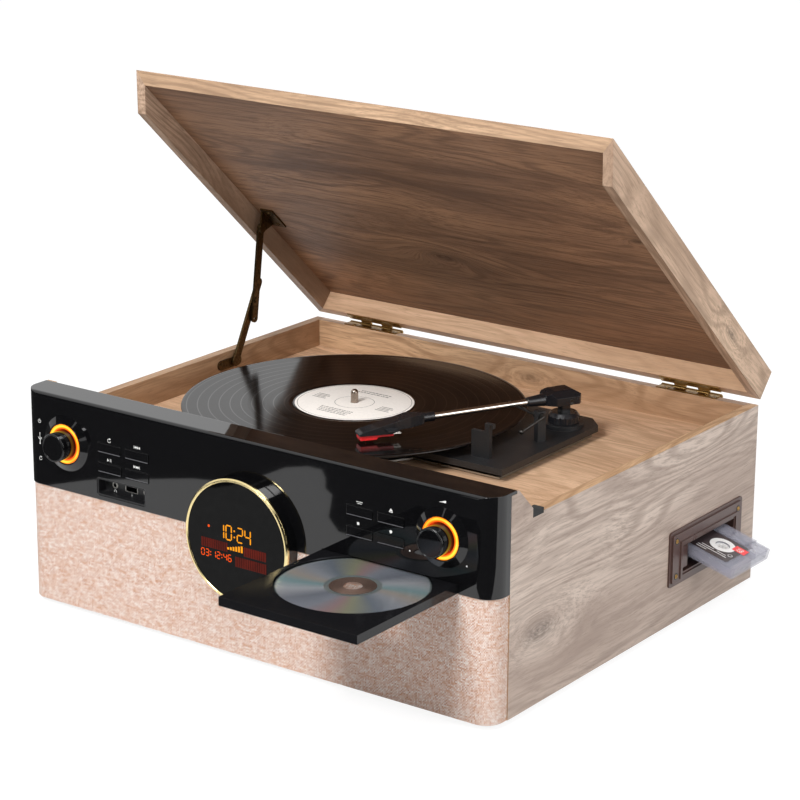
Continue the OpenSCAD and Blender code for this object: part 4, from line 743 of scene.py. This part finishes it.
def flat_sheet(name, outline, z, material):
    """A stage object: one flat face at that height."""
    mesh = bpy.data.meshes.new(name)
    mesh.from_pydata([(x, y, z) for x, y in outline], [], [tuple(range(len(outline)))])
    made = new_object(name, mesh)
    mesh.materials.append(material)
    return made


def make_floor():
    """A floor that looks white where no shadow falls on it."""
    reach, glow, glow_share = 6, 1.32, 0.68
    s = Shader("floor_white", rough=0.9)
    speck = s.cloud(40, 3.0)
    s.set(Base_Color=s.ramp(speck, (0.3, (0.60, 0.60, 0.60, 1)), (0.7, (0.64, 0.64, 0.64, 1))))
    bright = s.add("ShaderNodeEmission", {0: (1, 1, 1, 1), 1: glow})
    share = s.times(seen_rays(s.tree), glow_share)
    mix = s.add("ShaderNodeMixShader", {0: share, 1: s.bsdf.outputs[0], 2: bright.outputs[0]})
    s.tree.links.new(mix.outputs[0], s.tree.nodes["Material Output"].inputs[0])
    flat_sheet("floor", box(-reach, -reach, reach, reach), 0, s.mat)


def make_flag():
    """Dark felt before the object and three upright cards, seen only in polished surfaces.

    The felt's near edge gives the light patches on the front their outline.
    """
    s = Shader("felt_black", (0.006, 0.006, 0.007, 1), 0.95)
    s.bump(s.cloud(400), 0.2)
    near = [(-3.0, 0.30), (-0.46, 0.30), (-0.46, -0.43), (-0.436, -0.443), (-0.411, -0.485), (-0.372, -0.515),
            (-0.335, -0.545), (-0.300, -0.560), (-0.286, -0.590), (-0.283, -0.625), (-0.268, -0.643),
            (-0.250, -0.643), (-0.232, -0.625), (-0.213, -0.600), (-0.196, -0.588), (-0.180, -0.565),
            (-0.160, -0.535), (-0.130, -0.510), (-0.090, -0.505), (-0.054, -0.516), (0.010, -0.512),
            (0.060, -0.490), (0.30, -0.48), (0.46, -0.38), (0.58, -0.30), (3.0, -0.30)]
    far_y, card_y, card_high = -3.4, -1.5, 1.3
    made = [flat_sheet("studio_felt", near + [(3.0, far_y), (-3.0, far_y)], 0.5 * MM, s.mat)]
    for i, (x0, x1) in enumerate(((-3.2, -0.60), (-0.50, -0.02), (0.09, 2.4))):
        card = flat_sheet(f"studio_card_{i}", box(x0, 0, x1, card_high), 0, s.mat)
        card.matrix_world = facing_front(0, card_y, 0)
        made.append(card)
    for sheet in made:
        for rays in ("camera", "diffuse", "shadow", "transmission"):
            setattr(sheet, f"visible_{rays}", False)


make_camera()
make_world()
make_floor()
make_flag()
lamp("key", (-0.02, -2.10, 1.95), (0, 0, 0.15), (0.8, 0.55), 57)
lamp("top", (0.3, -0.7, 2.3), (0, 0, 0.1), (1.2, 0.9), 14)
lamp("side", (2.3, -0.2, 0.9), (0.2, 0, 0.1), (1.2, 1.2), 16)
bpy.context.scene.view_settings.view_transform = "Standard"


# Display

SEGMENTS = {"0": "abcdef", "1": "bc", "2": "abged", "3": "abgcd", "4": "fgbc", "5": "afgcd", "6": "afgedc",
            "7": "abc", "8": "abcdefg", "9": "abfgcd"}
SEGMENT_ENDS = {"a": ((0, 1), (1, 1)), "b": ((1, 1), (1, 0.5)), "c": ((1, 0.5), (1, 0)), "d": ((0, 0), (1, 0)),
                "e": ((0, 0), (0, 0.5)), "f": ((0, 0.5), (0, 1)), "g": ((0, 0.5), (1, 0.5))}
SIGN_DEEP = 0.12 * MM
BAR_WIDE, BAR_STEP = 1.9, 2.3  # the display's unlit bars, in millimetres


def digits(bm, signs, x, y, height, place, thick, deep=SIGN_DEEP, wide=0.46, step=0.66, colon=0.30):
    """Seven-segment digits from their lower left corner on, a colon as two squares."""
    width = height * wide
    for sign in signs:
        if sign == ":":
            for up in (0.28, 0.72):
                cx, cy, half = x + height * (colon - step + wide) / 2, y + height * up, thick * 0.6
                bar(bm, cx - half, cy - half, cx + half, cy + half, 0, deep, place)
            x += height * colon
            continue
        for key in SEGMENTS[sign]:
            p, q = (Vector((x + ax * width, y + ay * height)) for ax, ay in SEGMENT_ENDS[key])
            u = (q - p).normalized()
            n = Vector((-u.y, u.x)) * thick / 2
            tip = u * thick / 2
            p, q = p + tip / 2, q - tip / 2
            outline = (p, p + tip + n, q - tip + n, q, q - tip - n, p + tip - n)
            prism(bm, [tuple(v) for v in outline], 0, deep, place)
        x += height * step


def make_display():
    face = facing_front(0, LENS_LOW.y - 0.05 * MM, DRUM_Z)

    def bars(bm):
        for x, end, low, high in ((-36, -10, -10.5, -2.6), (8, 31, -10.5, -2.6), (-1, 31, -21, -12.4)):
            while x < end:
                bar_mm(bm, face, x, low, x + BAR_WIDE, high, 0, 0.06)
                x += BAR_STEP

    def clock(bm):
        digits(bm, "10:24", -18 * MM, 0.3 * MM, 12 * MM, face, 1.1 * MM)

    def counter(bm):
        digits(bm, "03:12:46", -36 * MM, -18 * MM, 5.6 * MM, face, 0.75 * MM, wide=0.56, step=0.82,
               colon=0.43)
        prism(bm, circle(-28 * MM, 8 * MM, 1.1 * MM, 20), 0, SIGN_DEEP, face)

    def level(bm):
        for i in range(6):
            x = -9 + i * 2.8
            bar_mm(bm, face, x, -8, x + 1.8, -6.2 + 0.75 * i, 0, 0.12)

    # painted glow: the unlit bars are drawn with a faint red emission
    piece("display_bars", bars, "cabinet", M["painted_glow"])
    piece("display_clock", clock, "cabinet", M["amber"])
    piece("display_counter", counter, "cabinet", M["orange"])
    piece("display_level", level, "cabinet", M["amber"])


# Printed symbols on the front, and the frames of its sockets

BUTTON_SIGNS = {"left_1": "repeat", "left_2": "play", "left_3": "back", "left_4": "ahead",
                "right_1": "eject", "right_2": "dot", "right_3": "lines", "right_4": "stop"}
# Signs round the knobs: kind, knob's X, way from its middle and size in millimetres
KNOB_SIGNS = (("power", -KNOB_X, -30, 14, 4.0), ("aerial", -KNOB_X, -30, -1, 5.0),
              ("repeat", -KNOB_X, -30, -19, 4.0), ("ramp", KNOB_X, 0, 29, 4.0),
              ("dot", KNOB_X, -30, -17.3, 2.2), ("dot", KNOB_X, 23, -18, 2.2))
# Two jacks and a socket in the recess, in millimetres
RECESS_Y, SOCKET_Z, JACKS_X, SOCKET_X = -206, 120.6, (-146.5, -112.2), -128.2


def post(cx, w=0.08, h=0.3):
    return box(cx - w / 2, -h, cx + w / 2, h)


def triangle(cx, way):
    return [(cx - way * 0.22, -0.3), (cx + way * 0.22, 0), (cx - way * 0.22, 0.3)][::way]


# The outlines of each sign, for a size of 1
SIGNS = {
    "play": (triangle(-0.35, 1), post(0.15), post(0.38)),
    "stop": (post(-0.3, 0.5, 0.25),),
    "dot": (circle(0, 0, 0.3, 20),),
    "eject": ([(-0.4, -0.1), (0.4, -0.1), (0, 0.42)], box(-0.4, -0.34, 0.4, -0.2)),
    "repeat": (band(arc(0, 0, 0.36, 60, 350, 18), 0.09), [(0.05, 0.14), (0.42, 0.34), (0.05, 0.56)]),
    "power": (band(arc(0, 0, 0.36, 125, 415, 18), 0.09), box(-0.045, 0, 0.045, 0.5)),
    "ramp": ([(-0.8, -0.2), (0.8, -0.2), (0.8, 0.3)],),
    "lines": (box(-0.7, 0.1, 0.7, 0.2), box(-0.5, -0.2, 0.5, -0.1)),
    "aerial": (band([(0, -1), (0, 1)], 0.1), band(arc(0, 0.15, 0.34, 180, 360, 14), 0.1),
               circle(0, -0.95, 0.16, 14)),
    "phones": (band(arc(0, 0, 0.4, 0, 180, 14), 0.12), box(-0.5, -0.35, -0.3, 0), box(0.3, -0.35, 0.5, 0)),
}
for sign_kind, way in (("back", -1), ("ahead", 1)):
    SIGNS[sign_kind] = (*(triangle(way * cx, way) for cx in (-0.62, -0.10, 0.34)), post(way * 0.62))


def symbol(bm, kind, x, z, size, y=FACE_Y):
    """A small printed sign centred at x, z on the front's face, or on a face at y."""
    for outline in SIGNS[kind]:
        prism(bm, [(a * size, b * size) for a, b in outline], 0, 0.08 * MM, facing_front(x, y, z))


def make_symbols():
    boxes = {name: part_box(f"button_{name}") for name in BUTTON_SIGNS}

    def fill(bm):
        for name, kind in BUTTON_SIGNS.items():
            low, high = boxes[name]
            symbol(bm, kind, (low.x + high.x) / 2, high.z + 2.5 * MM, 4.4 * MM)
        for kind, knob_x, dx, dz, size in KNOB_SIGNS:
            symbol(bm, kind, knob_x + dx * MM, KNOB_Z + dz * MM, size * MM)
        for kind, x, z, size in (("phones", JACKS_X[0], 115.4, 2.8), ("aerial", SOCKET_X, 115.6, 1.6),
                                 ("play", JACKS_X[1], 115.6, 2.6)):
            symbol(bm, kind, x * MM, z * MM, size * MM, RECESS_Y * MM)
    piece("front_symbols", fill, "cabinet", M["ink"])


def make_socket_frames():
    def fill(bm):
        for x in JACKS_X:
            lathe(bm, mm((1.8, 0), (1.8, 0.3), (2.9, 0.3), (3.2, 0)),
                  facing_front(x * MM, RECESS_Y * MM, SOCKET_Z * MM), 40)
        outer = mm(*box(-6.8, -3.0, 6.8, 3.0))
        plate(bm, outer, [[(x * 0.90, y * 0.78) for x, y in outer]], 0, 0.3 * MM,
              facing_front(SOCKET_X * MM, RECESS_Y * MM, SOCKET_Z * MM))
    piece("socket_frames", fill, "cabinet", M["steel"])


# Record with its label

def make_record():
    top, low, edge = RECORD_HIGH.z, RECORD_LOW.z, RECORD_HIGH.x - SPIN_X
    place = moved(SPIN_X, SPIN_Y, 0)
    profile = mm((3.63, -0.1), (52.6, -0.1), (53.2, -0.35), (54.6, -0.35), (55.2, -0.1), (58, -0.14),
                 (145, -0.14), (146, -0.12), (147.5, 0), above=top)
    profile += [(edge - 0.9 * MM, top), (edge - 0.25 * MM, top - 0.3 * MM), (edge, (top + low) / 2),
                (edge - 0.25 * MM, low + 0.3 * MM), (edge - 0.9 * MM, low), (60 * MM, low), (3.63 * MM, low)]
    made = piece("record_pressing", lambda bm: lathe(bm, profile, place, 256), "turning_platter",
                 M["vinyl"], smooth=True)
    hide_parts("record")

    def label(bm):
        lathe(bm, mm((3.7, -0.1), (3.7, 0.05), (51.6, 0.05), (52, -0.1), above=top), place, 128)
    piece("record_label", label, "turning_platter", M["label"], smooth=True)

    def print_on_label(bm):
        z0, z1 = top + 0.04 * MM, top + 0.07 * MM
        for r0, r1 in ((49.6, 50), (17, 17.4)):
            washer(bm, r0 * MM, r1 * MM, z0, z1, place)
        random.seed(7)
        for y in (-26, -29.5, -33, -36.5, 27, 31):
            end = (30 - abs(y) * 0.35) * 0.8
            x = -end
            while x < end:
                step = 1.2 + 2.6 * random.random()
                bar(bm, x * MM, y * MM, (x + step) * MM, (y + 1.3) * MM, z0, z1, place)
                x += step + 0.7
        for middle in (-34, 34):
            for i in range(4):
                y, end = -7 + 3.2 * i, middle + 7 - 2 * (i % 2)
                bar(bm, (middle - 7) * MM, y * MM, end * MM, (y + 1.0) * MM, z0, z1, place)
    piece("label_print", print_on_label, "turning_platter", M["label_ink"])


# Compact disc: mirror layer between clear hub and clear edge

def make_disc():
    top, low, edge = DISC_HIGH.z, DISC_LOW.z, (DISC_HIGH.x - DISC_LOW.x) / 2
    place = moved(DISC_X, DISC_Y, 0)

    def mirror(bm):
        washer(bm, 22.5 * MM, edge - 1.2 * MM, low + 0.2 * MM, top, place, 160)
    made = piece("disc_mirror", mirror, "disc", M["silver"], smooth=True)
    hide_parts("compact_disc")

    def hub(bm):
        rings = [(7.5 * MM, low), (7.5 * MM, top)]
        for i in range(5):
            r = 8.6 + 1.9 * i
            rings += mm((r, 0), (r + 0.2, -0.12), (r + 0.5, 0), above=top)
        lathe(bm, rings + [(18.4 * MM, top), (18.4 * MM, low)], place)
    piece("disc_hub", hub, "disc", M["hub_print"], smooth=True)

    def clear(bm):
        upper = mm((18.5, 0), (19.6, -0.15), (20.2, 0), (22.4, 0), above=top)
        lathe(bm, [(18.5 * MM, low), *upper, (22.4 * MM, low)], place)
        lathe(bm, [(edge - 1.1 * MM, low), (edge - 1.1 * MM, top), (edge, top - 0.1 * MM),
                   (edge, low + 0.1 * MM)], place, 160)
    piece("disc_clear", clear, "disc", M["hub_clear"], smooth=True)


# Cassette: clear shell with two reels, the tape, a dark band and a red patch, all in its own axes

HUBS = mm((17, 107.5), (-25.4, 107.5))
PINS = mm((34.5, 134.5), (-42.9, 134.5), (12, 134), (-20.4, 134))
SHELL_HALF, WALL_HALF, RAISED_HALF = 4.35, 3.2, 6.0     # half thicknesses, in millimetres


def make_cassette():
    outline = mm((-54.4, 79.1), (-52.9, 77.6), (44.5, 77.6), (46, 79.1), (46, 139.9), (44.5, 141.4),
                 (-52.9, 141.4), (-54.4, 139.9))
    inner = mm((-52.8, 80), (-51.8, 79.2), (43.4, 79.2), (44.4, 80), (44.4, 139), (43.4, 139.8), (-51.8, 139.8),
               (-52.8, 139))
    raised = mm((-40.2, 140.8), (-36.8, 124.4), (28.4, 124.4), (31.8, 140.8))

    def shell(bm):
        plate(bm, outline, [inner], -SHELL_HALF * MM, SHELL_HALF * MM, BAY)
        pins = [circle(x, y, 1.9 * MM, 20) for x, y in PINS]
        holes = [circle(x, y, 6.2 * MM) for x, y in HUBS] + pins
        for low, high in ((-SHELL_HALF, -WALL_HALF), (WALL_HALF, SHELL_HALF)):
            plate(bm, inner, holes, low * MM, high * MM, BAY)
        for low, high in ((-RAISED_HALF, -4.4), (4.4, RAISED_HALF)):
            plate(bm, raised, pins[2:], low * MM, high * MM, BAY)
        for i in range(7):
            x = -34 + 10 * i
            bar_mm(bm, BAY, x, 125.4, x + 1.0, 139.6, -3.1, 3.1)
        for y0, y1 in ((80.2, 81), (123, 123.9)):
            bar_mm(bm, BAY, -50, y0, 42, y1, -3.1, 3.1)
    made = piece("cassette_shell", shell, "tape", M["clear"])
    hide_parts("cassette")

    def reels(bm):
        for hub in HUBS:
            place = BAY @ moved(*hub)
            lathe(bm, mm((5.1, -2.9), (5.1, 3.1), (11, 3.1), (11.3, 2.6), (11.3, -2.9)), place, 64)
            for i in range(6):
                spun = place @ turned(math.radians(60 * i + 12), "Z")
                bar_mm(bm, spun, 3.7, -0.6, 5.4, 0.6, -2.4, 2.6)
        for x in (36.6, -45):
            washer(bm, 1.2 * MM, 3.0 * MM, -2.6 * MM, 2.6 * MM, BAY @ moved(x * MM, 127.5 * MM), 32)
    piece("cassette_reels", reels, "tape", M["white"], smooth=True)

    def wound(bm):
        for hub, outer, steps in ((HUBS[1], 21.5, 96), (HUBS[0], 12.6, 64)):
            washer(bm, 11.4 * MM, outer * MM, -1.9 * MM, 1.9 * MM, BAY @ moved(*hub), steps)
        run = mm((-46.9, 108), (-45.4, 130.2), (-30, 139.2), (22, 139.2), (37, 130.2), (29.6, 108))
        prism(bm, band(run, 0.25 * MM), -1.9 * MM, 1.9 * MM, BAY)
    piece("cassette_tape", wound, "tape", M["tape"])

    def label_band(bm):
        edge = mm((-48, 84), (33, 84), (34.5, 85.5), (34.5, 122), (33, 123.4), (-48, 123.4))
        windows = [circle(x, y, 11.6 * MM, 48) for x, y in HUBS]
        for low, high in ((4.36, 4.46), (-4.46, -4.36)):
            plate(bm, edge, windows, low * MM, high * MM, BAY)
    piece("cassette_band", label_band, "tape", M["band"])

    def marks(bm):
        for hub in HUBS:
            for low, high in ((4.36, 4.50), (-4.50, -4.36)):
                washer(bm, 6.4 * MM, 11.4 * MM, low * MM, high * MM, BAY @ moved(*hub), 64)
        place = BAY @ moved(0, 0, 4.46 * MM)
        for x0, x1, y0 in ((2, 30, 90.2), (4, 16, 93.4), (19, 28, 93.4), (2, 12, 87)):
            bar_mm(bm, place, x0, y0, x1, y0 + 0.8, 0, 0.05)
        washer(bm, 1.7 * MM, 2.1 * MM, 0, 0.05 * MM, place @ moved(30.5 * MM, 97 * MM, 0), 32)
    piece("cassette_marks", marks, "tape", M["white"])

    def patch(bm):
        bar_mm(bm, BAY, 25.2, 108.6, 37.4, 118.4, 4.47, 4.56)
    piece("cassette_patch", patch, "tape", M["red"])

    def sixty(bm):
        place = BAY @ moved(33.6 * MM, 110.6 * MM, 4.57 * MM) @ turned(QUARTER, "Z")
        digits(bm, "60", 0, 0, 4.6 * MM, place, 0.8 * MM, 0.05 * MM)
    piece("cassette_digits", sixty, "tape", M["white"])


# Screws

def screws(name, places, body, material, r, high):
    """Round heads with a cross recess, each seated at the origin of its place."""
    def fill(bm):
        gap, seat = r * 0.15, high * 0.62
        for place in places:
            solid_lathe(bm, [(0, 0), (r, 0), (r, high * 0.4), (r * 0.88, seat), (0, seat)], place, 20)
            for i in range(4):
                spun = place @ turned(i * QUARTER + 0.3, "Z")
                prism(bm, [(gap, gap)] + arc(0, 0, r * 0.8, 14, 76, 5), high * 0.55, high, spun)
    piece(name, fill, body, material)


def seats(direction, *points):
    """Places for screws at points in millimetres, with their heads along direction."""
    return [facing(direction, Vector(point) * MM) for point in points]


def make_screws():
    on_leaf = (-192, -152, 152, 192)
    low_leaf = seats((0, 0, 1), *((x, 188.2, 165) for x in on_leaf))
    up_leaf = [LID @ seat for seat in seats((0, 0, -1), *((x, 188.2, 166) for x in on_leaf))]
    hang = [LID @ seat for seat in seats((0, 0, -1), *((-216.2, y, 183.9) for y in (33.8, 51.8)))]
    foot = seats((1, 0, 0), (-229.4, 37, 153))
    bezel = seats((1, 0, 0), *((242.9, y, z) for y in (55.3, 159.3) for z in (48.4, 79.4)))
    rear = seats((0, 1, 0), *((x, 195, z) for x in (-97, 97) for z in (33, 69)),
                 *((x, 193, z) for x in (-226, 0, 226) for z in (18, 150)))
    screws("hinge_screws_lower", low_leaf, "cabinet", M["brass"], 2.2 * MM, 0.4 * MM)
    screws("hinge_screws_upper", up_leaf, "lid", M["brass"], 2.2 * MM, 0.4 * MM)
    screws("stay_screws_upper", hang, "lid", M["antique"], 2.4 * MM, 0.9 * MM)
    screws("stay_screw_lower", foot, "cabinet", M["antique"], 2.6 * MM, 0.35 * MM)
    screws("bezel_screws", bezel, "cabinet", M["brass"], 2.0 * MM, 0.8 * MM)

    def wells(bm):
        for place in bezel:
            lathe(bm, mm((2.1, 0), (2.1, 0.25), (2.9, 0.35), (3.2, 0)), place, 32)
    piece("bezel_wells", wells, "cabinet", M["satin"], smooth=True)
    screws("back_screws", rear, "cabinet", M["dark_head"], 3.0 * MM, 1.2 * MM)


# Small parts of the tonearm, knobs and buttons

def make_arm_details():
    def ribs(bm):
        side = mm((34, -2.2), (54, -6.18), (54, -5.7), (35, -1.75))
        for i in range(6):
            y = (-5.5 + 2.2 * i) * MM + 0.35 * MM
            prism(bm, side, 0, 0.7 * MM, HEAD @ moved(0, y, 0) @ turned(QUARTER, "X"))
    piece("head_ribs", ribs, "tonearm", M["arm"])

    def terminals(bm):
        for i in range(4):
            y = (-3.9 + 2.6 * i) * MM
            place = HEAD @ moved(21 * MM, y, -10.4 * MM) @ turned(QUARTER, "Y")
            solid_lathe(bm, mm((0, 0), (0.35, 0), (0.5, 0.3), (0.5, 7), (0, 7)), place, 12)
    piece("head_terminals", terminals, "tonearm", M["chrome"], smooth=True)

    def pivots(bm):
        for way in (-1, 1):
            place = ARM @ moved(0, way * 12.5 * MM, 175 * MM) @ facing((0, way, 0), (0, 0, 0))
            solid_lathe(bm, mm((0, 0), (2.6, 0), (2.6, 0.2), (1.7, 0.3), (1.2, 0.1), (0, 0.1)), place, 32)
    piece("arm_pivot_caps", pivots, "tonearm", M["dark_head"], smooth=True)


def make_knob_rims():
    for side, x in (("left", -KNOB_X), ("right", KNOB_X)):
        def rim(bm):
            washer(bm, 10.9 * MM, 11.5 * MM, -0.05 * MM, 0.06 * MM, facing_front(x, KNOB_LOW.y, KNOB_Z))
        piece(f"knob_rim_{side}", rim, f"{side}_knob", M["satin"], smooth=True)


def make_painted_button_highlights():
    """A light strip along the lower edge of each button's face: a painted highlight where that edge catches the
    light.
    """
    half_w, half_h = 12, 3.8
    for name in BUTTONS:
        low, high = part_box(name)

        def edge(bm):
            place = facing_front((low.x + high.x) / 2, low.y, (low.z + high.z) / 2)
            bar_mm(bm, place, -half_w, -half_h, half_w, -half_h + 0.6, -0.2, 0.08)
        piece(f"{name}_edge", edge, f"press_{name}", M["edge"])


make_display()
make_symbols()
make_record()
make_disc()
make_cassette()
make_screws()
make_arm_details()
make_knob_rims()
make_painted_button_highlights()
make_socket_frames()
